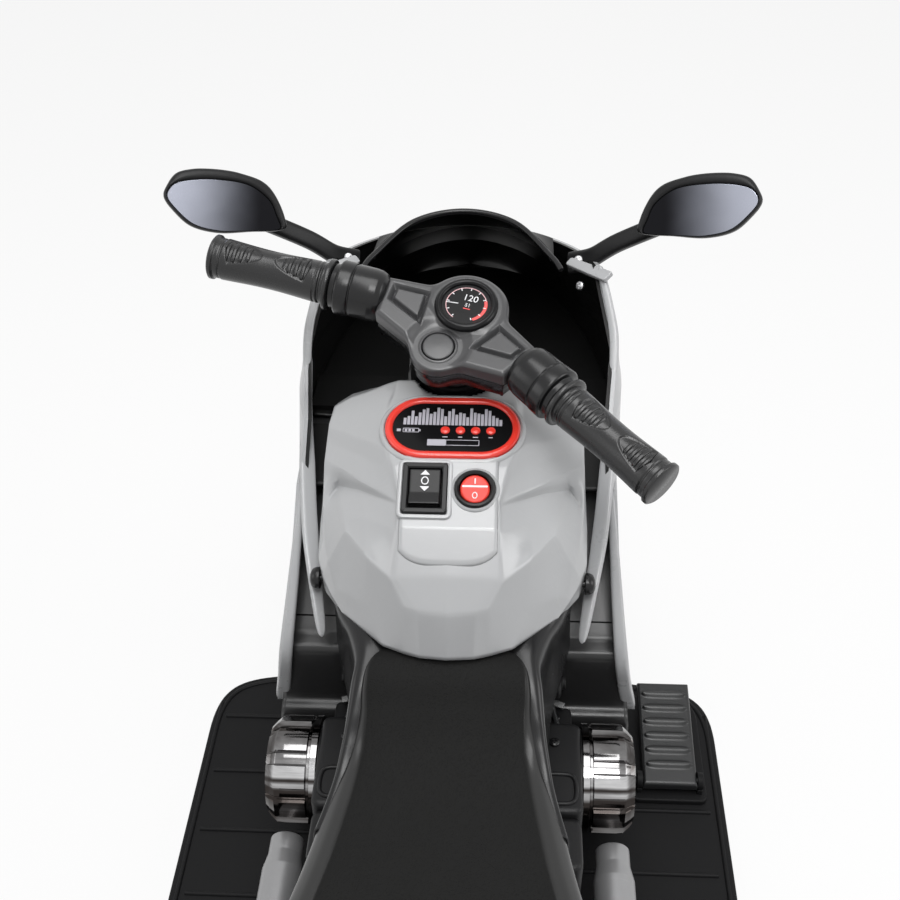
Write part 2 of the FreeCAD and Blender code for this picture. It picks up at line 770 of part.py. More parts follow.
def tail_light():
    rear_y = TAIL_Y + TAIL_SECTIONS[-1][0] - CLEAR
    low = DECK_Z + TAIL_LAMP_UP
    lens = box(-TAIL_LAMP_HALF, TAIL_LAMP_HALF, rear_y - TAIL_LAMP_T, rear_y, low, low + TAIL_LAMP_H)
    front = [e for e in lens.Edges if e.BoundBox.YMax < rear_y - TAIL_LAMP_T + CLEAR]
    return lens.makeFillet(TAIL_LAMP_T / 2, front)


# Fairing
def rim_z(y):
    """Height of the fairing's sloping top rim."""
    rear_y = RIM_POINTS[-1][1]
    return FAIRING_BASE_Z + RIM_REAR_UP - RIM_SLOPE * (y - rear_y)


def inset_curve(points, inset):
    """Points of a half outline moved inwards, square to the line through their neighbours."""
    moved = []
    for i, (x, y) in enumerate(points):
        if i == 0:
            moved.append((x, y - inset))
            continue
        after = points[min(i + 1, len(points) - 1)]
        before = points[i - 1]
        along_x = after[0] - before[0]
        along_y = after[1] - before[1]
        length = math.hypot(along_x, along_y)
        moved.append((x + along_y / length * inset, y - along_x / length * inset))
    return moved


def both_sides(points, height):
    """A half outline and its twin, from the left rear edge round the nose to the right one."""
    right = [Vec(x, y, height(y)) for x, y in points]
    left = [Vec(-p.x, p.y, p.z) for p in reversed(right[1:])]
    return left + right


def smooth(points):
    curve = Part.BSplineCurve()
    curve.interpolate(points)
    return curve.toShape()


def wall_wire(points, height, outside, inside):
    """Closed section of a curved wall between two insets of one half outline."""
    outer = both_sides(inset_curve(points, outside), height)
    inner = both_sides(inset_curve(points, inside), height)
    return Part.Wire([
        smooth(outer),
        Part.makeLine(outer[-1], inner[-1]),
        smooth(list(reversed(inner))),
        Part.makeLine(inner[0], outer[0]),
    ])


def fairing_wall(outside, inside):
    wires = []
    for up, points in FAIRING_LEVELS:
        level = FAIRING_BASE_Z + up
        wires.append(wall_wire(points, lambda y, level=level: level, outside, inside))
    wires.append(wall_wire(RIM_POINTS, rim_z, outside, inside))
    return Part.makeLoft(wires, True, True)


def lamp_window(inset):
    """The headlamp's outline, carried through the nose."""
    middle = (LAMP_OUTLINE[0][1] + LAMP_OUTLINE[-1][1]) / 2
    right = []
    drawn = 1 - inset / (middle - LAMP_OUTLINE[0][1])
    for x, h in LAMP_OUTLINE:
        right.append(Vec(x * drawn, HALF_LENGTH * 2, FAIRING_BASE_Z + middle + (h - middle) * drawn))
    left = [Vec(-p.x, p.y, p.z) for p in reversed(right[1:-1])]
    return face_of(right + left).extrude(Vec(0, -HALF_LENGTH - (HALF_LENGTH - WEB_Y), 0))


def fairing_outer():
    return fairing_wall(0, WALL).cut(lamp_window(0))


def headlight_lens():
    return fairing_wall(0, WALL).common(lamp_window(CLEAR))


def fairing_liner():
    """Black inner skin of the fairing, with two webs that hold it to the neck."""
    gap = WALL + CLEAR
    liner = fairing_wall(gap, gap + LINER_WALL)
    low = FAIRING_BASE_Z + WEB_UP
    far = FAIRING_LEVELS[0][1][-2][0] - gap - LINER_WALL / 2
    web = box(NECK_HALF + CLEAR, far, WEB_Y, WEB_Y + WEB_LEN, low, low + WEB_THICK)
    return liner.fuse([web, mirrored(web)]).removeSplitter()


def windscreen():
    def base_z(y):
        return rim_z(y) + CLEAR

    def top_z(y):
        return FAIRING_BASE_Z + SCREEN_REAR_UP + SCREEN_SLOPE * (y - SCREEN_TOP[-1][1])

    base = wall_wire(SCREEN_BASE, base_z, 0, SCREEN_WALL)
    top = wall_wire(SCREEN_TOP, top_z, 0, SCREEN_WALL)
    return Part.makeLoft([base, top], True, True)


def panel_between(rows, outside, inside):
    """A side panel through rows of (X, Y) points, between two insets from its outer face."""
    sections = []
    for z, points in rows:
        outer = [Vec(x - outside, y, z) for x, y in points]
        inner = [Vec(x - inside, y, z) for x, y in reversed(points)]
        sections.append(outer + inner)
    return ruled(sections)


def lower_rows():
    return [(FAIRING_BASE_Z + up, points) for up, points in LOWER_ROWS]


def lower_fairing():
    return panel_between(lower_rows(), 0, WALL)


def side_liner():
    """Black inner side panel, with stepped ledges that reach the body."""
    gap = WALL + CLEAR
    liner = panel_between(lower_rows(), gap, gap + LINER_WALL)
    solid = panel_between(lower_rows(), gap, 2 * BODY_HALF)
    pieces = []
    for up in LINER_STEPS:
        low = FAIRING_BASE_Z + up
        ledge = box(BODY_HALF + CLEAR, 2 * FOOT_HALF, STEP_Y0, STEP_Y1, low, low + WEB_THICK)
        pieces.append(ledge.common(solid))
    return liner.fuse(pieces).removeSplitter()


def side_blade():
    """Slim panel from the fairing's rear corner down along the tank."""
    sections = []
    for y, outer, top, bottom in BLADE_STATIONS:
        inner = outer - BLADE_WALL
        high = FAIRING_BASE_Z + top
        low = FAIRING_BASE_Z + bottom
        sections.append([Vec(outer, y, high), Vec(outer, y, low), Vec(inner, y, low), Vec(inner, y, high)])
    return ruled(sections)


# Mirrors
def mirror_frame():
    along = Vec(MIRROR_LONG).normalize()
    face = Vec(MIRROR_FACE)
    face = (face - along * face.dot(along)).normalize()
    up = face.cross(along)
    return along, up, face


def mirror_wire(scale, inset, depth):
    """The mirror's rounded outline, drawn in and set back behind its face."""
    along, up, face = mirror_frame()
    points = []
    for a, b in MIRROR_OUTLINE:
        length = math.hypot(a, b)
        share = scale * (length - inset) / length
        points.append(MIRROR_AT + along * (a * share) + up * (b * share) - face * depth)
    curve = Part.BSplineCurve()
    curve.interpolate(points, PeriodicFlag=True)
    return Part.Wire([curve.toShape()])


def mirror_plug(inset, top, bottom):
    wires = [mirror_wire(1, inset, depth) for depth in (top, bottom)]
    return Part.makeLoft(wires, True, True)


def foot_place(shape):
    """Sets a mirror foot, built flat at the origin, on the fairing's sloping rim."""
    placed = shape.copy()
    placed.rotate(Vec(0, 0, 0), Vec(1, 0, 0), -math.degrees(math.atan(RIM_SLOPE)))
    placed.translate(Vec(ARM_FOOT_X, ARM_FOOT_Y, rim_z(ARM_FOOT_Y)))
    return placed


def mirror_housing():
    """Hollow-faced housing on a tapering arm, with a foot on the fairing's rim."""
    along, up, face = mirror_frame()
    shell = Part.makeLoft([mirror_wire(1, 0, 0), mirror_wire(MIRROR_BACK, 0, MIRROR_DEEP)], True, True)
    shell = shell.cut(mirror_plug(MIRROR_LIP, -CLEAR, GLASS_SUNK + GLASS_THICK + CLEAR))
    foot = foot_place(box(-FOOT_WIDE / 2, FOOT_WIDE / 2, -FOOT_LONG / 2, FOOT_LONG / 2, CLEAR, FOOT_TALL))
    root = Vec(ARM_FOOT_X, ARM_FOOT_Y, rim_z(ARM_FOOT_Y) + FOOT_TALL + ARM_THICK / 2)
    behind = MIRROR_DEEP * MIRROR_BACK
    tip = MIRROR_AT - along * behind - up * ARM_THICK - face * behind
    side = face.cross((tip - root).normalize()).normalize()
    sections = []
    for place, size in ((root, 1), (tip, ARM_TAPER)):
        wide = side * (ARM_WIDE / 2 * size)
        deep = face * (ARM_THICK / 2 * size)
        sections.append([place + wide + deep, place - wide + deep, place - wide - deep, place + wide - deep])
    return shell.fuse([foot, ruled(sections)]).removeSplitter()


def mirror_glass():
    return mirror_plug(MIRROR_LIP + CLEAR, GLASS_SUNK, GLASS_SUNK + GLASS_THICK)


# Footboards, mudguards and pedal
def footboard():
    radius = REAR_TYRE_R + FENDER_GAP
    fender_x = REAR_WHEEL_X - REAR_TYRE_W / 2 - FENDER_GAP
    start_up = FOOT_TOP - FOOT_THICK - FENDER_DROP - REAR_AXLE_Z
    rear_y = REAR_AXLE_Y + math.sqrt(radius * radius - start_up * start_up)
    inner_x = BODY_HALF + CLEAR
    outline = [
        (inner_x, FOOT_FRONT_Y),
        (FOOT_FRONT_X, FOOT_FRONT_Y),
        (FOOT_HALF - FOOT_CORNER_IN, FOOT_CORNER_Y),
        (FOOT_HALF, FOOT_SIDE_Y),
        (FOOT_HALF, rear_y),
        (inner_x, rear_y),
    ]
    board = slab_z(outline, FOOT_TOP - FOOT_THICK, FOOT_TOP)
    centre = Vec(fender_x, REAR_AXLE_Y, REAR_AXLE_Z)
    profile = face_of([
        Vec(fender_x, REAR_AXLE_Y + radius, REAR_AXLE_Z),
        Vec(FOOT_HALF, REAR_AXLE_Y + radius, REAR_AXLE_Z),
        Vec(FOOT_HALF, REAR_AXLE_Y + radius + FENDER_WALL, REAR_AXLE_Z),
        Vec(fender_x, REAR_AXLE_Y + radius + FENDER_WALL, REAR_AXLE_Z),
    ])
    start = math.degrees(math.asin(start_up / radius))
    profile.rotate(centre, Vec(1, 0, 0), start)
    fender = profile.revolve(centre, Vec(1, 0, 0), FENDER_ARC - start)
    board = board.fuse(fender)
    pitch = (FOOT_RIB_FRONT_Y - rear_y - FOOT_RIB_REAR) / (FOOT_RIBS - 1)
    rib_x0 = inner_x + FOOT_RIB_INNER
    rib_x1 = FOOT_HALF - FOOT_RIB_OUTER
    for i in range(FOOT_RIBS):
        y = FOOT_RIB_FRONT_Y - i * pitch
        board = board.fuse(box(rib_x0, rib_x1, y, y + FOOT_RIB_W, FOOT_TOP, FOOT_TOP + FOOT_RIB_H))
    return board.removeSplitter()


PEDAL_X1 = FOOT_HALF - PEDAL_EDGE
PEDAL_X0 = PEDAL_X1 - PEDAL_WIDE
PEDAL_PIN_Y = PEDAL_REAR_Y + PEDAL_BASE_FRONT
PEDAL_BASE_Z = FOOT_TOP + CLEAR
PEDAL_PIN_Z = PEDAL_BASE_Z + PEDAL_BASE_H + PEDAL_PIN_UP
PEDAL_FRONT_Y = PEDAL_REAR_Y + PEDAL_LEN


def pedal_bay():
    """Room for the pedal's tray in the footboard's ribs."""
    return box(PEDAL_X0 - PEDAL_BASE_SIDE, PEDAL_X1 + PEDAL_BASE_SIDE,
               PEDAL_REAR_Y - PEDAL_BASE_FRONT, PEDAL_FRONT_Y + PEDAL_BASE_FRONT,
               FOOT_TOP, FOOT_TOP + PEDAL_BASE_H)


def pedal_base():
    """Tray on the footboard with two lugs for the pedal's pins and the switch block under it."""
    x0 = PEDAL_X0 - PEDAL_BASE_SIDE + CLEAR
    x1 = PEDAL_X1 + PEDAL_BASE_SIDE - CLEAR
    y0 = PEDAL_REAR_Y - PEDAL_BASE_FRONT + CLEAR
    y1 = PEDAL_FRONT_Y + PEDAL_BASE_FRONT - CLEAR
    tray = box(x0, x1, y0, y1, PEDAL_BASE_Z, PEDAL_BASE_Z + PEDAL_BASE_H)
    lug_half = PEDAL_LUG_Y / 2
    lug_top = PEDAL_PIN_Z + lug_half
    pieces = []
    for start in (PEDAL_X0 - CLEAR - PEDAL_LUG, PEDAL_X1 + CLEAR):
        pieces.append(box(start, start + PEDAL_LUG, PEDAL_PIN_Y - lug_half, PEDAL_PIN_Y + lug_half,
                          PEDAL_BASE_Z + PEDAL_BASE_H, lug_top))
    middle = (PEDAL_X0 + PEDAL_X1) / 2
    switch_y = PEDAL_FRONT_Y - PEDAL_SWITCH_Y
    pieces.append(box(middle - PEDAL_SWITCH_H, middle + PEDAL_SWITCH_H, switch_y - PEDAL_SWITCH_Y, switch_y,
                      PEDAL_BASE_Z + PEDAL_BASE_H, PEDAL_BASE_Z + PEDAL_BASE_H + PEDAL_SWITCH_H))
    pin = rod_x(PEDAL_X0 - 2 * PEDAL_LUG, PEDAL_X1 + 2 * PEDAL_LUG, PEDAL_PIN_Y, PEDAL_PIN_Z,
                PEDAL_PIN_R + RUNNING)
    return tray.fuse(pieces).cut(pin).removeSplitter()


def pedal():
    """Sloping foot plate with cross ribs and two pins at its rear end."""
    rear_low = PEDAL_PIN_Z - PEDAL_PIN_R
    front_low = rear_low + PEDAL_RISE
    outline = [
        (PEDAL_REAR_Y, rear_low),
        (PEDAL_FRONT_Y, front_low),
        (PEDAL_FRONT_Y, front_low + PEDAL_THICK),
        (PEDAL_REAR_Y, rear_low + PEDAL_THICK),
    ]
    plate = slab_x(outline, PEDAL_X0, PEDAL_X1)
    slope = PEDAL_RISE / PEDAL_LEN
    pitch = (PEDAL_LEN - PEDAL_PIN_UP) / PEDAL_RIBS
    ribs = []
    for i in range(PEDAL_RIBS):
        y = PEDAL_REAR_Y + PEDAL_PIN_UP + i * pitch
        z = rear_low + PEDAL_THICK + slope * (y - PEDAL_REAR_Y)
        rib = [(y, z - PEDAL_RIB_H), (y + PEDAL_RIB_W, z - PEDAL_RIB_H + slope * PEDAL_RIB_W),
               (y + PEDAL_RIB_W, z + PEDAL_RIB_H / 2 + slope * PEDAL_RIB_W), (y, z + PEDAL_RIB_H)]
        ribs.append(slab_x(rib, PEDAL_X0 + PEDAL_LUG, PEDAL_X1 - PEDAL_LUG))
    pin = rod_x(PEDAL_X0 - PEDAL_LUG, PEDAL_X1 + PEDAL_LUG, PEDAL_PIN_Y, PEDAL_PIN_Z, PEDAL_PIN_R)
    return plate.fuse(ribs + [pin]).removeSplitter()


# Engine dress-up
def flute_ring(x, scale):
    points = []
    count = 4 * BARREL_FLUTES
    for i in range(count):
        radius = BARREL_R if i % 4 < 2 else BARREL_R - FLUTE_DEPTH
        angle = 2 * math.pi * i / count
        y = ENGINE_Y + scale * radius * math.cos(angle)
        z = ENGINE_Z + scale * radius * math.sin(angle)
        points.append(Vec(x, y, z))
    return points


def engine_cover():
    full = BARREL_X1 - BARREL_TAPER
    return ruled([flute_ring(BARREL_X0, 1), flute_ring(full, 1), flute_ring(BARREL_X1, BARREL_END)])


def engine_block():
    """Finned black barrel between the body and the bright cover."""
    start = BODY_HALF + CLEAR
    end = BARREL_X0 - CLEAR
    block = rod_x(start, end, ENGINE_Y, ENGINE_Z, BLOCK_R)
    pitch = (end - start) / BLOCK_FINS
    fins = [rod_x(start + i * pitch, start + i * pitch + FIN_T, ENGINE_Y, ENGINE_Z, BLOCK_R + FIN_PROUD)
            for i in range(BLOCK_FINS)]
    return block.fuse(fins).removeSplitter()


def exhaust():
    start_y = ENGINE_Y - BARREL_R - CLEAR
    pipe = rod(Vec(PIPE_X, start_y, PIPE_Z), Vec(0, -1, 0), PIPE_R, PIPE_LEN)
    bore = rod(Vec(PIPE_X, start_y - PIPE_LEN, PIPE_Z), Vec(0, 1, 0), PIPE_R - WALL, PIPE_BORE)
    stay_y = start_y - PIPE_STAY_BACK
    stay = box(BODY_HALF + CLEAR, PIPE_X - PIPE_R / 2, stay_y, stay_y + PIPE_STAY, PIPE_Z - PIPE_STAY / 2,
               PIPE_Z + PIPE_STAY / 2)
    return pipe.fuse(stay).cut(bore).removeSplitter()


# Drive train
def pitch_radius(teeth):
    return GEAR_MODULE * teeth / 2


def involute(angle):
    return math.tan(angle) - angle


def gear_blank(teeth, x0, x1, turn):
    """Involute gear on the X axis; turn is the angle of one tooth from +Y towards +Z."""
    radius = pitch_radius(teeth)
    base = radius * math.cos(math.radians(GEAR_PRESSURE))
    tip = radius + GEAR_ADDENDUM * GEAR_MODULE
    root = radius - GEAR_DEDENDUM * GEAR_MODULE
    half_pitch = math.pi / (2 * teeth) - GEAR_BACKLASH / (2 * radius)
    low = max(base, root)
    flank = []
    for i in range(GEAR_FLANK_STEPS + 1):
        r = low + (tip - low) * i / GEAR_FLANK_STEPS
        flank.append((r, half_pitch + involute(math.radians(GEAR_PRESSURE)) - involute(math.acos(base / r))))
    points = []
    for tooth in range(teeth):
        middle = math.radians(turn) + 2 * math.pi * tooth / teeth
        side = [(root, middle - flank[0][1])] + [(r, middle - a) for r, a in flank]
        side += [(r, middle + a) for r, a in reversed(flank)] + [(root, middle + flank[0][1])]
        if root >= base:
            side = side[1:-1]
        points += [(r * math.cos(a), r * math.sin(a)) for r, a in side]
    return slab_x(points, x0, x1)


OUT_TO_IDLER = pitch_radius(GEAR_OUT_TEETH) + pitch_radius(GEAR_IDLER_SMALL)
IDLER_TO_PINION = pitch_radius(GEAR_IDLER_LARGE) + pitch_radius(GEAR_PINION_TEETH)
IDLER_Y = REAR_AXLE_Y + OUT_TO_IDLER * math.cos(math.radians(IDLER_ANGLE))
IDLER_Z = REAR_AXLE_Z + OUT_TO_IDLER * math.sin(math.radians(IDLER_ANGLE))
PINION_Y = IDLER_Y + IDLER_TO_PINION * math.cos(math.radians(PINION_ANGLE))
PINION_Z = IDLER_Z + IDLER_TO_PINION * math.sin(math.radians(PINION_ANGLE))
GEARCASE_X1 = REAR_WHEEL_X - REAR_TYRE_W / 2 - HUB_PROUD - 2 * CLEAR - GEARCASE_WALL
GEAR_OUTER_X1 = GEARCASE_X1 - GEARCASE_WALL - GEAR_SIDE
GEAR_OUTER_X0 = GEAR_OUTER_X1 - GEAR_WIDTH
GEAR_INNER_X1 = GEAR_OUTER_X0 - GEAR_SIDE
GEAR_INNER_X0 = GEAR_INNER_X1 - GEAR_WIDTH
GEARCASE_X0 = GEAR_INNER_X0 - GEAR_SIDE - GEARCASE_WALL
GEARCASE_SPLIT = (GEARCASE_X0 + GEARCASE_X1) / 2


def moved(shape, y, z):
    placed = shape.copy()
    placed.translate(Vec(0, y, z))
    return placed


def output_gear():
    """Large gear with a hexagon boss that drives the right wheel."""
    gear = gear_blank(GEAR_OUT_TEETH, GEAR_OUTER_X0, GEAR_OUTER_X1, IDLER_ANGLE)
    gear = gear.fuse(output_boss(0))
    gear = gear.cut(rod_x(0, FOOT_HALF, 0, 0, AXLE_R + RUNNING))
    return moved(gear.removeSplitter(), REAR_AXLE_Y, REAR_AXLE_Z)


def output_boss(room):
    radius = OUTPUT_BOSS_R + room
    corners = []
    for i in range(OUTPUT_BOSS_FLATS):
        angle = 2 * math.pi * i / OUTPUT_BOSS_FLATS
        corners.append((radius * math.cos(angle), radius * math.sin(angle)))
    return slab_x(corners, GEAR_OUTER_X1, REAR_WHEEL_X - REAR_TYRE_W / 2 + HUB_PROUD)


def idler_gear():
    """Stepped gear: the small wheel meets the output gear, the large one meets the pinion."""
    small_turn = IDLER_ANGLE + 180 + 180 / GEAR_IDLER_SMALL
    small = gear_blank(GEAR_IDLER_SMALL, GEAR_INNER_X1, GEAR_OUTER_X1, small_turn)
    large = gear_blank(GEAR_IDLER_LARGE, GEAR_INNER_X0, GEAR_INNER_X1, PINION_ANGLE)
    gear = small.fuse(large).cut(rod_x(0, FOOT_HALF, 0, 0, IDLER_POST_R + RUNNING))
    return moved(gear.removeSplitter(), IDLER_Y, IDLER_Z)


def motor_pinion():
    turn = PINION_ANGLE + 180 + 180 / GEAR_PINION_TEETH
    gear = gear_blank(GEAR_PINION_TEETH, GEAR_INNER_X0, GEAR_INNER_X1, turn)
    shaft = rod_x(GEARCASE_X0 - MOTOR_LEN / 2, GEAR_INNER_X1, 0, 0, MOTOR_SHAFT_R)
    return moved(gear.fuse(shaft).removeSplitter(), PINION_Y, PINION_Z)


def gearcase_solid(inset, x0, x1):
    """Three round lobes joined by straight walls."""
    room = GEARCASE_ROOM + GEARCASE_WALL - inset
    lobes = [
        (REAR_AXLE_Y, REAR_AXLE_Z, pitch_radius(GEAR_OUT_TEETH) + room),
        (IDLER_Y, IDLER_Z, pitch_radius(GEAR_IDLER_LARGE) + room),
        (PINION_Y, PINION_Z, MOTOR_R + room),
    ]
    solid = rod_x(x0, x1, *lobes[0])
    for (y0, z0, r0), (y1, z1, r1) in zip(lobes, lobes[1:]):
        length = math.hypot(y1 - y0, z1 - z0)
        side_y = -(z1 - z0) / length
        side_z = (y1 - y0) / length
        web = slab_x([
            (y0 + side_y * r0, z0 + side_z * r0),
            (y1 + side_y * r1, z1 + side_z * r1),
            (y1 - side_y * r1, z1 - side_z * r1),
            (y0 - side_y * r0, z0 - side_z * r0),
        ], x0, x1)
        solid = solid.fuse([web, rod_x(x0, x1, y1, z1, r1)])
    return solid.removeSplitter()


def gearcase():
    shell = gearcase_solid(0, GEARCASE_X0, GEARCASE_X1)
    hollow = gearcase_solid(GEARCASE_WALL, GEARCASE_X0 + GEARCASE_WALL, GEARCASE_X1 - GEARCASE_WALL)
    case = shell.cut(hollow)
    post = rod_x(GEARCASE_X0, GEARCASE_X1 - GEARCASE_WALL - CLEAR, IDLER_Y, IDLER_Z, IDLER_POST_R)
    case = case.fuse(post)
    case = case.cut(rod_x(0, GEARCASE_SPLIT, REAR_AXLE_Y, REAR_AXLE_Z, AXLE_R + RUNNING))
    boss_hole = rod_x(GEARCASE_SPLIT, FOOT_HALF, REAR_AXLE_Y, REAR_AXLE_Z, OUTPUT_BOSS_R + CLEAR)
    shaft_hole = rod_x(0, GEARCASE_SPLIT, PINION_Y, PINION_Z, MOTOR_SHAFT_R + RUNNING)
    return case.cut(boss_hole).cut(shaft_hole)


def gearcase_inner():
    keep = box(0, GEARCASE_SPLIT, -2 * HALF_LENGTH, 0, 0, HALF_LENGTH)
    post = rod_x(GEARCASE_SPLIT, GEARCASE_X1 - GEARCASE_WALL - CLEAR, IDLER_Y, IDLER_Z, IDLER_POST_R)
    return gearcase().common(keep).fuse(post).removeSplitter()


def gearcase_outer():
    keep = box(GEARCASE_SPLIT + CLEAR, FOOT_HALF, -2 * HALF_LENGTH, 0, 0, HALF_LENGTH)
    post = rod_x(0, FOOT_HALF, IDLER_Y, IDLER_Z, IDLER_POST_R + CLEAR)
    post = post.common(box(0, GEARCASE_X1 - GEARCASE_WALL, -2 * HALF_LENGTH, 0, 0, HALF_LENGTH))
    return gearcase().common(keep).cut(post)


def motor():
    end = GEARCASE_X0 - CLEAR
    can = rod_x(end - MOTOR_LEN, end, PINION_Y, PINION_Z, MOTOR_R)
    bore = rod_x(GEARCASE_X0 - MOTOR_LEN / 2 - CLEAR, end, PINION_Y, PINION_Z, MOTOR_SHAFT_R + RUNNING)
    return can.cut(bore)


def rear_axle():
    """Steel rod with a press-on cap at each end and a spacer tube on the left, as four solids."""
    end = REAR_WHEEL_X + REAR_TYRE_W / 2 + CLEAR
    bar = rod_x(-end, end, REAR_AXLE_Y, REAR_AXLE_Z, AXLE_R)
    cap = rod_x(end, end + AXLE_NUT_T, REAR_AXLE_Y, REAR_AXLE_Z, AXLE_NUT_R)
    left_hub = REAR_WHEEL_X - REAR_TYRE_W / 2 - HUB_PROUD - CLEAR
    spacer = rod_x(-left_hub, -GEARCASE_X0, REAR_AXLE_Y, REAR_AXLE_Z, SPACER_R)
    spacer = spacer.cut(rod_x(-FOOT_HALF, 0, REAR_AXLE_Y, REAR_AXLE_Z, AXLE_R + RUNNING))
    return Part.makeCompound([bar, cap, mirrored(cap), spacer])


# Wheels, built round the X axis at the origin
def tyre(radius, width):
    half = width / 2
    edge = radius - TYRE_CROWN
    inner = radius - TYRE_BAND
    arc = Part.Arc(Vec(-half, 0, edge), Vec(0, 0, radius), Vec(half, 0, edge)).toShape()
    corners = [(half, edge), (half, inner), (-half, inner), (-half, edge)]
    sides = Part.makePolygon([Vec(x, 0, r) for x, r in corners])
    return Part.Face(Part.Wire([arc] + sides.Edges)).revolve(Vec(0, 0, 0), Vec(1, 0, 0), 360)


def rim(radius, width):
    """Hub, web with round windows, and the ring inside the tyre."""
    ring = radius - TYRE_BAND - CLEAR
    half = width / 2 - RIM_INSET
    hub = width / 2 + HUB_PROUD
    bore = AXLE_R + RUNNING
    band = ring - RIM_RING
    side = [(WEB_HALF, HUB_R), (WEB_HALF, band), (half, band), (half, ring)]
    hub_side = [(hub, bore), (hub, HUB_R)]
    right = hub_side + side
    left = [(-x, r) for x, r in reversed(right)]
    wheel = turned_x(right + left)
    middle = (HUB_R + band) / 2
    window = (band - HUB_R) / 2 - SPOKE_HOLE_EDGE
    for i in range(SPOKE_HOLES):
        angle = 2 * math.pi * i / SPOKE_HOLES
        wheel = wheel.cut(rod_x(-width, width, middle * math.cos(angle), middle * math.sin(angle), window))
    return wheel


def at_rear(shape, side):
    placed = shape.copy()
    placed.translate(Vec(side * REAR_WHEEL_X, REAR_AXLE_Y, REAR_AXLE_Z))
    return placed


def rear_rim(side):
    """Rear rim; the hub is flush outside, and the right one takes the gear's boss."""
    face = REAR_TYRE_W / 2
    beyond = box(face, 2 * face, -REAR_TYRE_R, REAR_TYRE_R, -REAR_TYRE_R, REAR_TYRE_R)
    wheel = rim(REAR_TYRE_R, REAR_TYRE_W).cut(beyond if side > 0 else mirrored(beyond))
    wheel = at_rear(wheel, side)
    if side > 0:
        wheel = wheel.cut(moved(output_boss(CLEAR), REAR_AXLE_Y, REAR_AXLE_Z))
    return wheel


# Steering
def steering_bushes():
    """Two flanged sleeves in the neck."""
    bushes = []
    for low, flange_low, flip in ((NECK_LOW, NECK_LOW - BUSH_FLANGE_T, 1), (NECK_TOP, NECK_TOP, -1)):
        sleeve_low = low if flip > 0 else low - BUSH_LEN
        sleeve = rod(Vec(0, 0, sleeve_low), Vec(0, 0, 1), BUSH_R, BUSH_LEN)
        flange = rod(Vec(0, 0, flange_low), Vec(0, 0, 1), BUSH_FLANGE_R, BUSH_FLANGE_T)
        hole = rod(Vec(0, 0, 0), Vec(0, 0, 1), COLUMN_R + RUNNING, ARM_S)
        bushes.append(raked(sleeve.fuse(flange).cut(hole).removeSplitter()))
    return Part.makeCompound(bushes)


CROWN_TOP = NECK_LOW - BUSH_FLANGE_T - CLEAR
HEAD_BOTTOM = ARM_S - HEAD_LOW
HORN_TOP = ARM_S + HORN_LOBE_TOP + HORN_PROUD
HORN_FLOOR = ARM_S - HORN_TRAVEL


def steering_column():
    top = HORN_FLOOR - 2 * CLEAR
    return steered(rod(Vec(0, 0, CROWN_LOW), Vec(0, 0, 1), COLUMN_R, top - CROWN_LOW))


def fork():
    """Crown and two legs astride the front wheel."""
    outer = LEG_INNER + LEG_T
    crown = box(-outer, outer, -CROWN_HALF_Y, CROWN_HALF_Y, CROWN_LOW, CROWN_TOP)
    legs = []
    for side in (-1, 1):
        x0 = min(side * LEG_INNER, side * outer)
        legs.append(box(x0, x0 + LEG_T, -LEG_HALF_Y, LEG_HALF_Y, 0, CROWN_TOP))
        legs.append(rod_x(x0, x0 + LEG_T, 0, 0, LEG_FOOT_R))
    body = crown.fuse(legs)
    body = body.cut(rod(Vec(0, 0, CROWN_LOW), Vec(0, 0, 1), COLUMN_R + RUNNING, CROWN_TOP))
    body = body.cut(rod_x(-FOOT_HALF, FOOT_HALF, 0, 0, AXLE_R + RUNNING))
    return steered(body.removeSplitter())


def front_mudguard():
    """Curved guard under the crown, over the top of the wheel."""
    radius = FRONT_TYRE_R + GUARD_GAP
    start = Vec(0, -radius * math.sin(math.radians(GUARD_BACK)), radius * math.cos(math.radians(GUARD_BACK)))
    outward = Vec(start).normalize() * GUARD_WALL
    side = Vec(GUARD_HALF, 0, 0)
    strip = face_of([start - side, start + side, start + side + outward, start - side + outward])
    guard = strip.revolve(Vec(0, 0, 0), Vec(-1, 0, 0), GUARD_BACK + GUARD_FRONT)
    post_low = FRONT_TYRE_R + GUARD_GAP + GUARD_WALL / 2
    post = box(-CROWN_HALF_Y, CROWN_HALF_Y, -CROWN_HALF_Y, CROWN_HALF_Y, post_low, CROWN_LOW - CLEAR)
    return steered(guard.fuse(post).removeSplitter())


def front_axle():
    """Steel rod with a nut outside each fork leg."""
    end = LEG_INNER + LEG_T + CLEAR
    bar = rod_x(-end, end, 0, 0, AXLE_R)
    nuts = [rod_x(end, end + AXLE_NUT_T, 0, 0, AXLE_NUT_R), rod_x(-end - AXLE_NUT_T, -end, 0, 0, AXLE_NUT_R)]
    return Part.makeCompound([steered(piece) for piece in [bar] + nuts])


SWEEP_RAD = math.radians(SWEEP)


def arm_direction(side):
    """Swept back and a little up from the hub."""
    rise = math.radians(ARM_RISE)
    flat = math.cos(rise)
    return Vec(side * math.cos(SWEEP_RAD) * flat, -math.sin(SWEEP_RAD) * flat, math.sin(rise))


def arm_rod(side, start, end, radius):
    """A round bar along one arm of the handlebar."""
    direction = arm_direction(side)
    return rod(Vec(0, ARM_HUB_Y, ARM_S) + direction * start, direction, radius, end - start)


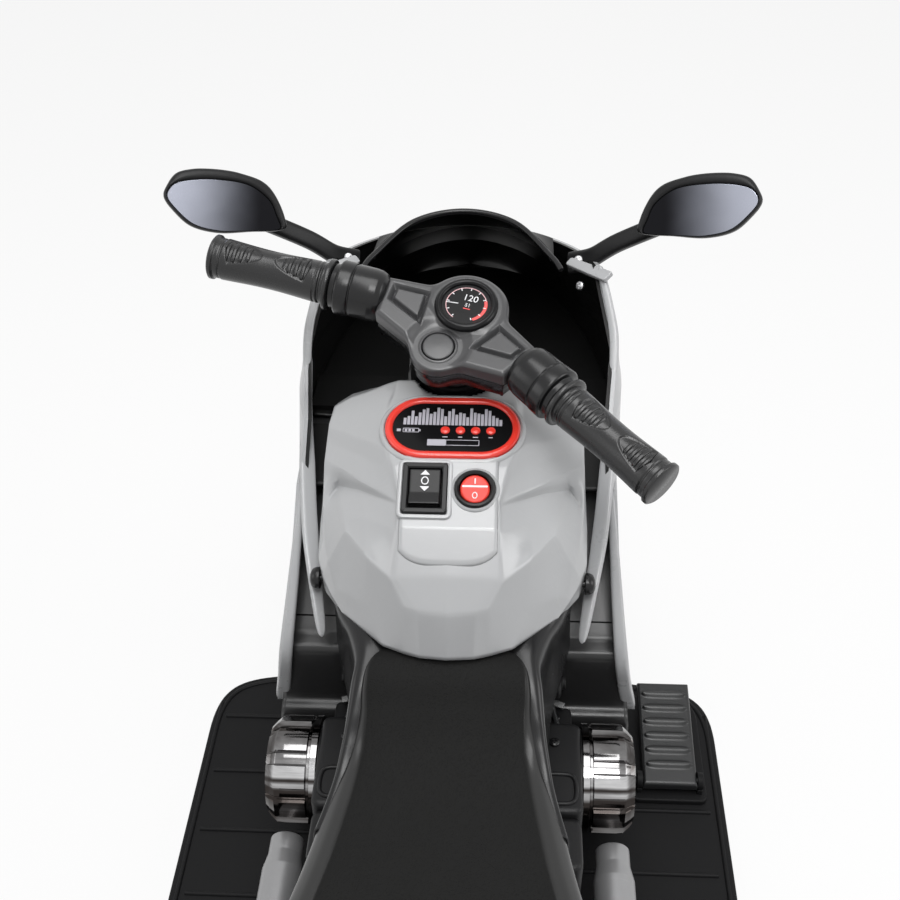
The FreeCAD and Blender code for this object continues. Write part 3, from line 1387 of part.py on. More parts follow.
def head_outline(inset, low, gauge_high, horn_high, arm_high):
    """Gauge lobe, horn lobe and two tapering arms."""
    gauge_lobe = rod(Vec(0, GAUGE_AT, low), Vec(0, 0, 1), GAUGE_LOBE_R - inset, gauge_high - low)
    horn_lobe = rod(Vec(0, HORN_AT, low), Vec(0, 0, 1), HORN_LOBE_R - inset, horn_high - low)
    pieces = [horn_lobe]
    for side in (-1, 1):
        along = Vec(side * math.cos(SWEEP_RAD), -math.sin(SWEEP_RAD), 0)
        across = Vec(math.sin(SWEEP_RAD), side * math.cos(SWEEP_RAD), 0)
        hub = Vec(0, ARM_HUB_Y, 0)
        tip = hub + along * (COLLAR_START - COLLAR_GAP)
        root = ARM_ROOT_HALF - inset
        end = ARM_TIP_HALF - inset
        corners = [hub + across * root, tip + across * end, tip - across * end, hub - across * root]
        pieces.append(slab_z([(p.x, p.y) for p in corners], low, arm_high))
    return gauge_lobe.fuse(pieces).removeSplitter()


def horn_well(room):
    return rod(Vec(0, HORN_AT, HORN_FLOOR - room), Vec(0, 0, 1), HORN_R + CLEAR, HEAD_LOW + HEAD_TOP)


def handlebar_base():
    """Lower half of the head with the round boot and the two stubs that carry the grips."""
    head = head_outline(BASE_INSET, HEAD_BOTTOM, ARM_S, ARM_S, ARM_S)
    boot_low = NECK_TOP + BUSH_FLANGE_T + BOOT_LOW
    boot = rod(Vec(0, 0, boot_low), Vec(0, 0, 1), BOOT_R, HEAD_BOTTOM - boot_low)
    stubs = [arm_rod(side, GAUGE_LOBE_R, STUB_END, STUB_R) for side in (-1, 1)]
    body = head.fuse([boot] + stubs)
    body = body.cut(rod(Vec(0, 0, 0), Vec(0, 0, 1), COLUMN_R + RUNNING, ARM_S + CLEAR)).cut(horn_well(CLEAR))
    return steered(body.removeSplitter())


def handlebar_cover():
    """Upper half of the head with wells for the gauge and the horn button."""
    cover = head_outline(0, ARM_S + CLEAR, ARM_S + HEAD_TOP, ARM_S + HORN_LOBE_TOP, ARM_S + ARM_TOP)
    for side in (-1, 1):
        cover = cover.cut(arm_rod(side, 0, STUB_END, STUB_R + CLEAR))
    gauge_low = ARM_S + HEAD_TOP - GAUGE_SUNK
    cover = cover.cut(rod(Vec(0, GAUGE_AT, gauge_low), Vec(0, 0, 1), GAUGE_R + CLEAR, HEAD_TOP))
    return steered(cover.cut(horn_well(CLEAR)).removeSplitter())


def gauge():
    low = ARM_S + HEAD_TOP - GAUGE_SUNK + CLEAR
    high = ARM_S + HEAD_TOP + GAUGE_PROUD
    body = rod(Vec(0, GAUGE_AT, low), Vec(0, 0, 1), GAUGE_R, high - low)
    dial = rod(Vec(0, GAUGE_AT, high - DIAL_DOWN), Vec(0, 0, 1), GAUGE_R - GAUGE_RING, DIAL_DOWN)
    return steered(body.cut(dial))


def horn_button():
    low = HORN_FLOOR + HORN_TRAVEL
    return steered(rod(Vec(0, HORN_AT, low), Vec(0, 0, 1), HORN_R, HORN_TOP - low))


def grip(side):
    body = arm_rod(side, GRIP_START, GRIP_END, GRIP_R)
    ends = [arm_rod(side, GRIP_START, GRIP_START + GRIP_FLANGE_T, GRIP_INNER_R),
            arm_rod(side, GRIP_END - GRIP_FLANGE_T, GRIP_END, GRIP_FLANGE_R)]
    bore = arm_rod(side, 0, STUB_END + CLEAR, STUB_R + RUNNING)
    return steered(body.fuse(ends).cut(bore).removeSplitter())


def grip_collar(side):
    large = arm_rod(side, COLLAR_STEP, GRIP_START - CLEAR, COLLAR_R)
    small = arm_rod(side, COLLAR_START, COLLAR_STEP, COLLAR_SMALL_R)
    bore = arm_rod(side, 0, STUB_END, STUB_R + RUNNING)
    return steered(large.fuse(small).cut(bore).removeSplitter())


# Inner pieces
def battery():
    """Sealed block with two tab terminals on top."""
    low = BELLY_Z + WALL + CLEAR
    block = box(-BATTERY_X / 2, BATTERY_X / 2, BATTERY_AT_Y - BATTERY_Y, BATTERY_AT_Y, low, low + BATTERY_H)
    tabs = []
    tab_y = BATTERY_AT_Y - BATTERY_Y / 2
    tab_z = low + BATTERY_H
    for x in (-BATTERY_X / 4, BATTERY_X / 4):
        tabs.append(box(x, x + TERMINAL_W, tab_y, tab_y + TERMINAL_T, tab_z, tab_z + TERMINAL_H))
    return block.fuse(tabs).removeSplitter()


def speaker():
    """Round speaker face up on the saddle, with its cone sunk in."""
    low = SADDLE_Z + CLEAR
    can = rod(Vec(0, SPEAKER_Y, low), Vec(0, 0, 1), SPEAKER_R, SPEAKER_H)
    cone_at = Vec(0, SPEAKER_Y, low + SPEAKER_H - CONE_DEEP)
    cone = Part.makeCone(CONE_FLOOR_R, SPEAKER_R - WALL, CONE_DEEP, cone_at)
    return can.cut(cone)


def control_board():
    x1 = BODY_HALF - WALL - CLEAR
    x0 = x1 - BOARD_T
    board = box(x0, x1, BOARD_AT_Y - BOARD_Y, BOARD_AT_Y, BOARD_AT_Z, BOARD_AT_Z + BOARD_H)
    relay_y = BOARD_AT_Y - (BOARD_Y + RELAY_Y) / 2
    relay_z = BOARD_AT_Z + (BOARD_H - RELAY_H) / 2
    relay = box(x0 - RELAY_X, x0, relay_y, relay_y + RELAY_Y, relay_z, relay_z + RELAY_H)
    return board.fuse(relay).removeSplitter()


def charge_socket():
    """Round inlet in the left side of the body."""
    seat_x = -BODY_HALF - CLEAR
    inner_x = -BODY_HALF + SOCKET_LEN
    mouth_x = seat_x - SOCKET_FLANGE_T
    flange = rod_x(mouth_x, seat_x, SOCKET_Y, SOCKET_Z, SOCKET_FLANGE_R)
    barrel = rod_x(seat_x, inner_x, SOCKET_Y, SOCKET_Z, SOCKET_R)
    bore = rod_x(mouth_x, inner_x - SOCKET_FLOOR, SOCKET_Y, SOCKET_Z, SOCKET_BORE_R)
    pin = rod_x(seat_x, inner_x, SOCKET_Y, SOCKET_Z, SOCKET_PIN_R)
    return flange.fuse(barrel).cut(bore).fuse(pin).removeSplitter()


def build():
    right_board = footboard().cut(pedal_bay())
    nodes = {
        "body_left": body_left(),
        "body_right": body_right(),
        "tank_cover": tank_cover(),
        "tank_bolts": tank_bolts(),
        "audio_bezel": audio_bezel(),
        "audio_face": audio_face(),
        "switch_bodies": switch_bodies(),
        "drive_rocker": rocker(ROCKER_AT, ROCKER_HALF_X, ROCKER_HALF_Y, 0),
        "power_rocker": rocker(POWER_AT, POWER_HALF_X, POWER_HALF_Y, POWER_TIP),
        "seat": seat(),
        "tail_cowl": tail_cowl(),
        "tail_light": tail_light(),
        "fairing_outer": fairing_outer(),
        "fairing_liner": fairing_liner(),
        "windscreen": windscreen(),
        "headlight_lens": headlight_lens(),
        "lower_fairings": pair(lower_fairing()),
        "side_liners": pair(side_liner()),
        "side_blades": pair(side_blade()),
        "mirror_housings": pair(mirror_housing()),
        "mirror_glasses": pair(mirror_glass()),
        "footboard_left": mirrored(footboard()),
        "footboard_right": right_board,
        "pedal_base": pedal_base(),
        "pedal": pedal(),
        "engine_covers": pair(engine_cover()),
        "engine_blocks": pair(engine_block()),
        "exhausts": pair(exhaust()),
        "battery": battery(),
        "speaker": speaker(),
        "control_board": control_board(),
        "charge_socket": charge_socket(),
        "gearcase_inner": gearcase_inner(),
        "gearcase_outer": gearcase_outer(),
        "motor": motor(),
        "motor_pinion": motor_pinion(),
        "idler_gear": idler_gear(),
        "output_gear": output_gear(),
        "rear_axle": rear_axle(),
        "rear_tyre_left": at_rear(tyre(REAR_TYRE_R, REAR_TYRE_W), -1),
        "rear_tyre_right": at_rear(tyre(REAR_TYRE_R, REAR_TYRE_W), 1),
        "rear_rim_left": rear_rim(-1),
        "rear_rim_right": rear_rim(1),
        "front_tyre": steered(tyre(FRONT_TYRE_R, FRONT_TYRE_W)),
        "front_rim": steered(rim(FRONT_TYRE_R, FRONT_TYRE_W)),
        "front_axle": front_axle(),
        "fork": fork(),
        "front_mudguard": front_mudguard(),
        "steering_column": steering_column(),
        "steering_bushes": steering_bushes(),
        "handlebar_base": handlebar_base(),
        "handlebar_cover": handlebar_cover(),
        "gauge": gauge(),
        "horn_button": horn_button(),
        "grips": Part.makeCompound([grip(1), grip(-1)]),
        "grip_collars": Part.makeCompound([grip_collar(1), grip_collar(-1)]),
    }
    for i, x in enumerate(BUTTON_AT):
        nodes["audio_button_%d" % (i + 1)] = audio_button(x)
    return nodes


os.makedirs("parts", exist_ok=True)
for node, shape in build().items():
    shape.exportStep("parts/%s.step" % node)
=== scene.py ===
import bmesh
import bpy
import json
import math
import numpy as np
from mathutils import Matrix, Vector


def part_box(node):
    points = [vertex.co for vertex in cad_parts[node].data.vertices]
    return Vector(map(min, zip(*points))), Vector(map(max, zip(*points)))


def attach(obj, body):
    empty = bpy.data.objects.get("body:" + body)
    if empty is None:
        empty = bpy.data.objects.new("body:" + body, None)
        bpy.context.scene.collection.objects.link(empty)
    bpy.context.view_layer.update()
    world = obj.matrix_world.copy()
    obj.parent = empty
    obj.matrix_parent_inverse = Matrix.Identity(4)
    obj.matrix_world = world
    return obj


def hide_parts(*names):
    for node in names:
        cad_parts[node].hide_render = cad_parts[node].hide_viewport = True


# Looks of a child's battery motorbike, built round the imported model.
# Shapes are worked out in millimetres and put into the meshes in metres.

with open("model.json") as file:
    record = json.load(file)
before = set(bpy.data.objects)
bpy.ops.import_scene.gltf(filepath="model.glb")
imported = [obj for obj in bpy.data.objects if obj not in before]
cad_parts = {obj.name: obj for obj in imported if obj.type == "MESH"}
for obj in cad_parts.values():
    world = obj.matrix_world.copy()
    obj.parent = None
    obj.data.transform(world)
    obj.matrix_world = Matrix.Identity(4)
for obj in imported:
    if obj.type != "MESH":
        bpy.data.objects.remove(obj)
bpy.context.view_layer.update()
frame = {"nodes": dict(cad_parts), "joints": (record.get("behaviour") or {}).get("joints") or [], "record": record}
joints = {joint["name"]: joint for joint in frame["joints"]}

MM = 0.001
TAU = 2 * math.pi
ACROSS, AHEAD, UP = np.eye(3)
FLIP = np.array([-1.0, 1.0, 1.0])


# Frames
class Place:
    """A piece's own frame: an origin in millimetres and three unit axes."""

    def __init__(self, origin, x_axis, y_axis, z_axis):
        self.origin = np.array(origin, float)
        self.axes = np.array([x_axis, y_axis, z_axis], float)

    def at(self, x, y, z):
        return np.array([x, y, z], float) @ self.axes + self.origin

    def out(self, surface, x=0.0, y=0.0, z=0.0):
        """A surface shifted in this frame, as the bike's frame sees it."""
        points, faces = surface
        return (points + np.array([x, y, z])) @ self.axes + self.origin, faces

    def inner(self, points):
        """X, Y and Z of the bike's points in this frame."""
        return ((points - self.origin) @ self.axes.T).T


def unit(vector):
    return np.asarray(vector, float) / np.linalg.norm(vector)


def tilted(origin, degrees):
    """A panel that slopes up towards the front by an angle."""
    c, s = math.cos(math.radians(degrees)), math.sin(math.radians(degrees))
    return Place(origin, ACROSS, (0, c, s), (0, -s, c))


def sideways(x, y, z):
    """A frame whose Z points to the right, for what is turned about a cross line."""
    return Place((x, y, z), AHEAD, UP, ACROSS)


def square_to(origin, along, up):
    """A frame whose Z runs along a line and whose X leans as near to up as it can."""
    z = unit(along)
    x = unit(up - z * (up @ z))
    return Place(origin, x, np.cross(z, x), z)


def lying(origin, along, facing):
    """A frame whose X runs along a line and whose Z faces a direction as nearly as it can."""
    x = unit(along)
    y = unit(np.cross(facing, x))
    return Place(origin, x, y, np.cross(x, y))


# Outlines and profiles
def filleted(corners, radius, steps=7, closed=True):
    """Each corner becomes a quadratic arc from a point one radius before it to one radius after it."""
    p = np.asarray(corners, float)
    radius = np.broadcast_to(np.asarray(radius, float), (len(p),))[:, None]

    def toward(q):
        gap = q - p
        length = np.maximum(np.linalg.norm(gap, axis=1, keepdims=True), 1e-9)
        return p + gap / length * np.minimum(radius, 0.47 * length)

    t = np.linspace(0, 1, steps)[:, None, None]
    before, after = toward(np.roll(p, 1, 0)), toward(np.roll(p, -1, 0))
    arcs = ((1 - t) ** 2 * before + 2 * t * (1 - t) * p + t ** 2 * after).transpose(1, 0, 2)
    if closed:
        return arcs.reshape(-1, p.shape[1])
    return np.concatenate([p[:1], arcs[1:-1].reshape(-1, p.shape[1]), p[-1:]])


def spline(points, count, closed=False):
    """Catmull-Rom curve through the points, sampled evenly in its parameter."""
    p = np.asarray(points, float)
    n = len(p)
    t = np.arange(count) * n / count if closed else np.linspace(0, n - 1, count)
    i = np.minimum(t.astype(int), n - 1 if closed else n - 2)
    f = (t - i).reshape((-1,) + (1,) * (p.ndim - 1))
    a, b, c, d = (p[(i + k) % n if closed else np.clip(i + k, 0, n - 1)] for k in (-1, 0, 1, 2))
    return b + f / 2 * (c - a + f * (2 * a - 5 * b + 4 * c - d + f * (3 * (b - c) + d - a)))


def evenly(outline, count):
    """Closed outline sampled at equal steps along its length."""
    ring = np.vstack([outline, outline[:1]])
    run = np.concatenate([[0], np.cumsum(np.linalg.norm(np.diff(ring, axis=0), axis=1))])
    at = np.arange(count) / count * run[-1]
    return np.stack([np.interp(at, run, line) for line in ring.T], 1)


def outward(outline):
    """Unit normals of a closed outline."""
    after = np.roll(outline, -1, 0)
    along = after - np.roll(outline, 1, 0)
    normal = np.stack([along[:, 1], -along[:, 0]], 1)
    normal /= np.maximum(np.linalg.norm(normal, axis=1, keepdims=True), 1e-9)
    area = (outline[:, 0] * after[:, 1] - outline[:, 1] * after[:, 0]).sum()
    return normal if area > 0 else -normal


def turns(count):
    return np.arange(count) / count * TAU


def oval(half_x, half_y, count, power=1.0):
    """Closed oval; a power below 1 squares it off."""
    ring = np.stack([np.cos(turns(count)), np.sin(turns(count))], 1)
    return np.sign(ring) * np.abs(ring) ** power * np.array([half_x, half_y])


def stadium(length, wide, count=120):
    """Two half circles joined by straight sides."""
    ring = oval(wide / 2, wide / 2, count)
    ring[:, 0] += np.where(ring[:, 0] >= 0, 1, -1) * (length - wide) / 2
    return evenly(ring, count)


def rectangle(half_x, half_y, radius, steps=7):
    corners = [(half_x, -half_y), (half_x, half_y), (-half_x, half_y), (-half_x, -half_y)]
    return filleted(corners, radius, steps)


def ease(x, low, high):
    """0 below low, 1 above high, with a smooth step between."""
    t = np.clip((np.asarray(x, float) - low) / (high - low), 0, 1)
    return t * t * (3 - 2 * t)


def ridge(x, middle, half):
    """1 at the middle, falling smoothly to 0 at half a width away."""
    return np.clip(1 - ((np.asarray(x, float) - middle) / half) ** 2, 0, 1) ** 2


def rolled(near, radius):
    """Drop of a rounded edge, as a quarter circle, at a distance inside it."""
    return radius * (1 - np.sqrt(1 - (1 - np.clip(near / radius, 0, 1)) ** 2))


def polar(r, a, z):
    """Points at a radius and an angle about Z."""
    return np.stack(np.broadcast_arrays(r * np.cos(a), r * np.sin(a), z), -1)


def raised(flat, height):
    """Flat points with a height added as their Z."""
    return np.concatenate([flat, np.broadcast_to(height, flat.shape[:-1] + (1,))], -1)


def whole(right, axis=1):
    """A grid that starts on the middle line, joined to its mirror image."""
    return np.concatenate([np.delete(np.flip(right, axis), -1, axis) * FLIP, right], axis)


# Surfaces: each is (points, faces)
def sheet(grid, wrap_rows=False, wrap_cols=False):
    """Quads of a grid of points [rows, columns, 3]; either way may close on itself."""
    rows, cols = grid.shape[:2]
    index = np.arange(rows * cols).reshape(rows, cols)
    if wrap_rows:
        index = np.vstack([index, index[:1]])
    if wrap_cols:
        index = np.hstack([index, index[:, :1]])
    quads = np.stack([index[:-1, :-1], index[:-1, 1:], index[1:, 1:], index[1:, :-1]], -1)
    return grid.reshape(-1, 3), quads.reshape(-1, 4).tolist()


def tube(rings):
    """Closed skin through rings [rows, columns, 3] with a flat cap at each end."""
    points, quads = sheet(rings, wrap_cols=True)
    last = (len(rings) - 1) * rings.shape[1]
    cap = list(range(rings.shape[1]))
    return points, quads + [cap[::-1], [last + i for i in cap]]


def spun(profile, count):
    """(radius, along) profile turned about Z, as a grid."""
    profile = np.asarray(profile, float)
    return polar(profile[:, :1], turns(count), profile[:, 1:])


def turned(profile, count=96):
    """Open (radius, along) profile turned about Z; its ends are capped."""
    return tube(spun(profile, count))


def hoop(profile, count=96):
    """Closed (radius, along) profile turned about Z: a ring with a hole."""
    return sheet(spun(profile, count), True, True)


def band(outline, profile):
    """Closed (outward, up) profile carried round a closed outline."""
    profile = np.asarray(profile, float)
    flat = outline[:, None] + outward(outline)[:, None] * profile[:, :1]
    return sheet(raised(flat, profile[:, 1:]), True, True)


def plate(outline, low, high, edge, steps=5, crown=0.0):
    """Flat piece whose upper edge is a quarter circle; a crown swells its top towards the middle."""
    t = np.linspace(0, math.pi / 2, steps)
    inset = np.concatenate([[0.0], edge * (1 - np.cos(t)), [edge * 1.3]])
    height = np.concatenate([[low], high - edge + edge * np.sin(t), [high]])
    flat = outline - outward(outline) * inset[:, None, None]
    if crown:
        middle = flat[-1].mean(0)
        share = np.array([0.8, 0.6, 0.4, 0.2, 0.05])
        flat = np.concatenate([flat, middle + (flat[-1] - middle) * share[:, None, None]])
        height = np.concatenate([height, high + crown * (1 - share ** 2)])
    return tube(raised(flat, height[:, None, None]))


def sweep(path, profile, up=UP):
    """Closed (side, up) profile carried along a path of points, kept upright and capped."""
    path = np.asarray(path, float)
    along = np.gradient(path, axis=0)
    side = np.cross(along, np.asarray(up, float))
    side /= np.linalg.norm(side, axis=1, keepdims=True)
    top = np.cross(side, along)
    top /= np.linalg.norm(top, axis=1, keepdims=True)
    profile = np.broadcast_to(profile, (len(path),) + np.shape(profile)[-2:])
    return tube(path[:, None] + side[:, None] * profile[..., :1] + top[:, None] * profile[..., 1:])


def spread(cage, steps, axis):
    """Straight interpolation of a cage of points, with a number of steps for each of its intervals."""
    at = np.concatenate([k + np.arange(n) / n for k, n in enumerate(steps)] + [[len(steps)]])
    low = np.minimum(at.astype(int), len(steps) - 1)
    shape = [1] * cage.ndim
    shape[axis] = -1
    f = (at - low).reshape(shape)
    return np.take(cage, low, axis) * (1 - f) + np.take(cage, low + 1, axis) * f


def softened(grid):
    """Each inner point moves to the weighted mean (1, 2, 1) of its neighbours, along both ways in turn."""
    grid = grid.copy()
    grid[1:-1] = (grid[:-2] + 2 * grid[1:-1] + grid[2:]) / 4
    grid[:, 1:-1] = (grid[:, :-2] + 2 * grid[:, 1:-1] + grid[:, 2:]) / 4
    return grid


def without(surface, inside):
    """Drops the quads whose middle lies inside a region, and the points that are then unused."""
    points, faces = surface
    quads = np.array([face for face in faces if len(face) == 4])
    caps = [face for face in faces if len(face) > 4]
    quads = quads[~inside(points[quads].mean(1))]
    used, kept = np.unique(np.concatenate([quads.ravel()] + caps), return_inverse=True)
    parts = np.split(kept, np.cumsum([quads.size] + [len(cap) for cap in caps]))
    return points[used], parts[0].reshape(-1, 4).tolist() + [part.tolist() for part in parts[1:-1]]


def twin(surface):
    """The same surface on the other side of the bike."""
    points, faces = surface
    return points * FLIP, [face[::-1] for face in faces]


def both(*surfaces):
    return list(surfaces) + [twin(surface) for surface in surfaces]


def lettering(text, size, place, x, y, up, thick):
    """Plain figures as a thin raised mesh, centred at a point of a flat panel."""
    curve = bpy.data.curves.new("figures", "FONT")
    curve.body = text
    curve.size = size
    curve.align_x = curve.align_y = "CENTER"
    curve.extrude = thick / 2
    holder = bpy.data.objects.new("figures", curve)
    mesh = bpy.data.meshes.new_from_object(holder)
    co = np.zeros(len(mesh.vertices) * 3)
    mesh.vertices.foreach_get("co", co)
    faces = [list(polygon.vertices) for polygon in mesh.polygons]
    bpy.data.objects.remove(holder)
    bpy.data.curves.remove(curve)
    bpy.data.meshes.remove(mesh)
    return place.out((co.reshape(-1, 3), faces), x, y, up)


def piece(name, surfaces, slot, stands_for=(), body="chassis", finish=None, crease=38, wall=0.0, marks=None):
    """Joins surfaces into one object that rides on a body; a wall gives an open sheet its thickness."""
    starts = np.cumsum([0] + [len(points) for points, _ in surfaces])
    points = np.concatenate([points for points, _ in surfaces]) * MM
    faces = [[i + start for i in face] for start, (_, part) in zip(starts, surfaces) for face in part]
    mesh = bpy.data.meshes.new(name)
    mesh.from_pydata(points.tolist(), [], faces)
    for key, values in (marks or {}).items():
        mesh.attributes.new(key, "FLOAT", "POINT").data.foreach_set("value", np.asarray(values, np.float32))
    work = bmesh.new()
    work.from_mesh(mesh)
    bmesh.ops.remove_doubles(work, verts=work.verts, dist=1e-6)
    bmesh.ops.recalc_face_normals(work, faces=work.faces)
    work.to_mesh(mesh)
    work.free()
    mesh.shade_smooth()
    mesh.set_sharp_from_angle(angle=math.radians(crease))
    mesh.materials.append(finish or FINISHES[slot])
    made = bpy.data.objects.new(name, mesh)
    bpy.context.scene.collection.objects.link(made)
    if wall:
        skin = made.modifiers.new("wall", "SOLIDIFY")
        skin.thickness = wall * MM
        skin.offset = -1
    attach(made, body)
    if stands_for:
        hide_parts(*stands_for)


# Shading
class Shade:
    """A value of one material's node tree; operators on it add Math nodes."""

    def __init__(self, tree, socket):
        self.tree = tree
        self.socket = socket

    def node(self, kind, settings, inputs, output=0):
        """Adds a node: its settings first, then values or links for its sockets."""
        made = self.tree.nodes.new(kind)
        for key, value in settings.items():
            setattr(made, key, value)
        for key, value in inputs.items():
            if isinstance(value, Shade):
                self.tree.links.new(value.socket, made.inputs[key])
            else:
                made.inputs[key].default_value = value
        return Shade(self.tree, made.outputs[output])

    def math(self, operation, *values):
        return self.node("ShaderNodeMath", {"operation": operation}, dict(enumerate((self,) + values)))

    def __add__(self, other):
        return self.math("ADD", other)

    __radd__ = __add__

    def __sub__(self, other):
        return self.math("SUBTRACT", other)

    def __rsub__(self, other):
        return self.math("MULTIPLY_ADD", -1.0, other)

    def __mul__(self, other):
        return self.math("MULTIPLY", other)

    __rmul__ = __mul__

    def __truediv__(self, other):
        return self.math("DIVIDE", other)

    def __rtruediv__(self, other):
        return self.math("POWER", -1.0) * other

    def step(self, low, high):
        """Smooth step of the value between two limits."""
        return self.node("ShaderNodeMapRange", {"interpolation_type": "SMOOTHSTEP"},
                         {"Value": self, "From Min": low, "From Max": high})

    def between(self, first, second):
        """Mixes two colours by this value."""
        return self.node("ShaderNodeMix", {"data_type": "RGBA"}, {0: self, 6: first, 7: second}, 2)

    def noise(self, scale, detail=2.0, stretch=None):
        """Noise on these coordinates, with a scale in cells per metre."""
        where = self
        if stretch:
            where = self.node("ShaderNodeMapping", {}, {"Vector": self, "Scale": stretch})
        return self.node("ShaderNodeTexNoise", {}, {"Vector": where, "Scale": scale, "Detail": detail})

    def mark(self, name):
        """A value painted on the mesh's points."""
        return self.node("ShaderNodeAttribute", {"attribute_name": name}, {}, "Fac")

    def bump(self, depth_mm, strength):
        return self.node("ShaderNodeBump", {}, {"Height": self, "Distance": depth_mm * MM, "Strength": strength})


def rgba(colour, share):
    return tuple(min(1.0, c * share) for c in colour) + (1.0,)


def bare_tree(holder, kind):
    """An emptied node tree and the socket of its new output node."""
    holder.use_nodes = True
    tree = holder.node_tree
    tree.nodes.clear()
    return tree, tree.nodes.new(kind).inputs["Surface"]


def surface_shader(name, **fixed):
    """A material with one Principled shader, its fixed sockets set, and its Object coordinates."""
    material = bpy.data.materials.new(name)
    tree, output = bare_tree(material, "ShaderNodeOutputMaterial")
    shader = tree.nodes.new("ShaderNodeBsdfPrincipled")
    tree.links.new(shader.outputs[0], output)
    for key, value in fixed.items():
        shader.inputs[key.replace("_", " ")].default_value = value

    def feed(**values):
        for key, value in values.items():
            tree.links.new(value.socket, shader.inputs[key.replace("_", " ")])

    return material, Shade(tree, tree.nodes.new("ShaderNodeTexCoord").outputs["Object"]), feed


def moulded(name, colour, rough, drift=0.08, grain=0.0, pitch=1.0, scuffs=0.0, specular=0.5, coat=0.0,
            metallic=0.0):
    """Moulded plastic: its colour drifts a little, its gloss is uneven, with a fine grain and faint scuffs."""
    material, where, feed = surface_shader(name, Specular_IOR_Level=specular, Metallic=metallic, Coat_Weight=coat,
                                           Coat_Roughness=0.08)
    cloud = where.noise(22.0, 3.0)
    fine = where.noise(260.0, 4.0)
    tone = (cloud * 0.6 + fine * 0.4).between(rgba(colour, 1 - drift), rgba(colour, 1 + drift))
    gloss = rough * (0.85 + cloud * 0.2 + fine * 0.1)
    if scuffs:
        lines = where.noise(90.0, 1.0, (1.0, 9.0, 1.0)).step(0.62, 0.66) * where.noise(30.0, 2.0).step(0.5, 0.62)
        tone = (lines * scuffs).between(tone, rgba(colour, 1.25))
        gloss = gloss + lines * (scuffs * 0.25)
    depth = where.noise(1000.0 / pitch, 2.0) if grain else cloud
    feed(Base_Color=tone, Roughness=gloss, Normal=depth.bump(grain or 0.06, 0.8))
    return material


def pebbled(name, colour, rough, pitch, depth):
    """Seat skin: rounded cells of grain where the mesh says so, smooth on the flanks."""
    material, where, feed = surface_shader(name, Specular_IOR_Level=0.11, Coat_Roughness=0.16)
    grained = where.mark("grain")
    cell = where.node("ShaderNodeTexVoronoi", {}, {"Vector": where, "Scale": 1000.0 / pitch}).step(0.0, 0.55)
    fine = where.noise(2600.0, 2.0)
    cloud = where.noise(30.0, 3.0)
    feed(Base_Color=(cloud * 0.7 + cell * grained * 0.3).between(rgba(colour, 0.85), rgba(colour, 1.3)),
         Roughness=rough * (0.62 + grained * 0.42) + fine * 0.06, Coat_Weight=(1 - grained) * 0.8,
         Normal=((1 - cell) * grained + fine * 0.25).bump(depth, 0.9))
    return material


def plated(name, colour, rough, streak):
    """Bright plating with faint brushed streaks and small stains."""
    material, where, feed = surface_shader(name, Metallic=1.0)
    cloud = where.noise(40.0, 3.0)
    line = where.noise(120.0, 2.0, (1.0, 1.0, 12.0))
    feed(Base_Color=(cloud * 0.5 + line * 0.5).between(rgba(colour, 0.9), rgba(colour, 1.04)),
         Roughness=rough + line * streak, Normal=cloud.bump(0.05, 0.6))
    return material


def banded_plating(name):
    """Bright plating whose dark and pale bands, as of a room mirrored in it, are painted on the mesh."""
    material, where, feed = surface_shader(name, Metallic=1.0)
    cloud = where.noise(60.0, 3.0)
    line = where.noise(160.0, 2.0, (0.4, 1.0, 6.0))
    # painted reflection: the mesh's value, with noise added, runs from a dark brown to a near white
    painted_reflection = (where.mark("painted_reflection") + (cloud - 0.5) * 0.18 + (line - 0.5) * 0.2).step(0.05, 1.0)
    feed(Base_Color=painted_reflection.between((0.035, 0.03, 0.028, 1), (0.88, 0.88, 0.89, 1)), Roughness=0.06 + line * 0.06,
         Normal=cloud.bump(0.05, 0.6))
    return material


def mirror_with_painted_reflection(name):
    """Reflecting film with a painted reflection: dark at the inner end, pale bluish grey at the outer one."""
    material, where, feed = surface_shader(name, Metallic=0.9, Specular_IOR_Level=0.5)
    cloud = where.noise(35.0, 2.0)
    # painted reflection: the mesh's value, with noise added, runs from near black to a pale bluish grey
    painted_reflection = (where.mark("painted_reflection") + (cloud - 0.5) * 0.12).step(0.2, 1.05)
    feed(Base_Color=painted_reflection.between((0.010, 0.010, 0.012, 1), (0.46, 0.48, 0.56, 1)), Roughness=0.16 + cloud * 0.08)
    return material


def clear_tint(name, colour, rough, alpha):
    """Tinted transparent plastic with an uneven gloss."""
    material, where, feed = surface_shader(name, Alpha=alpha, IOR=1.49)
    cloud = where.noise(30.0, 2.0)
    feed(Base_Color=cloud.between(rgba(colour, 0.85), rgba(colour, 1.15)), Roughness=rough + cloud * 0.05)
    return material


def tread_rubber(name, colour):
    """Tyre plastic: matt, dusty in patches, with a fine grain."""
    material, where, feed = surface_shader(name, Specular_IOR_Level=0.3)
    cloud = where.noise(45.0, 4.0)
    fine = where.noise(900.0, 3.0)
    feed(Base_Color=(cloud * 0.6 + fine * 0.4).between(rgba(colour, 0.7), rgba(colour, 1.5)),
         Roughness=0.62 + cloud * 0.2, Normal=fine.bump(0.15, 0.7))
    return material


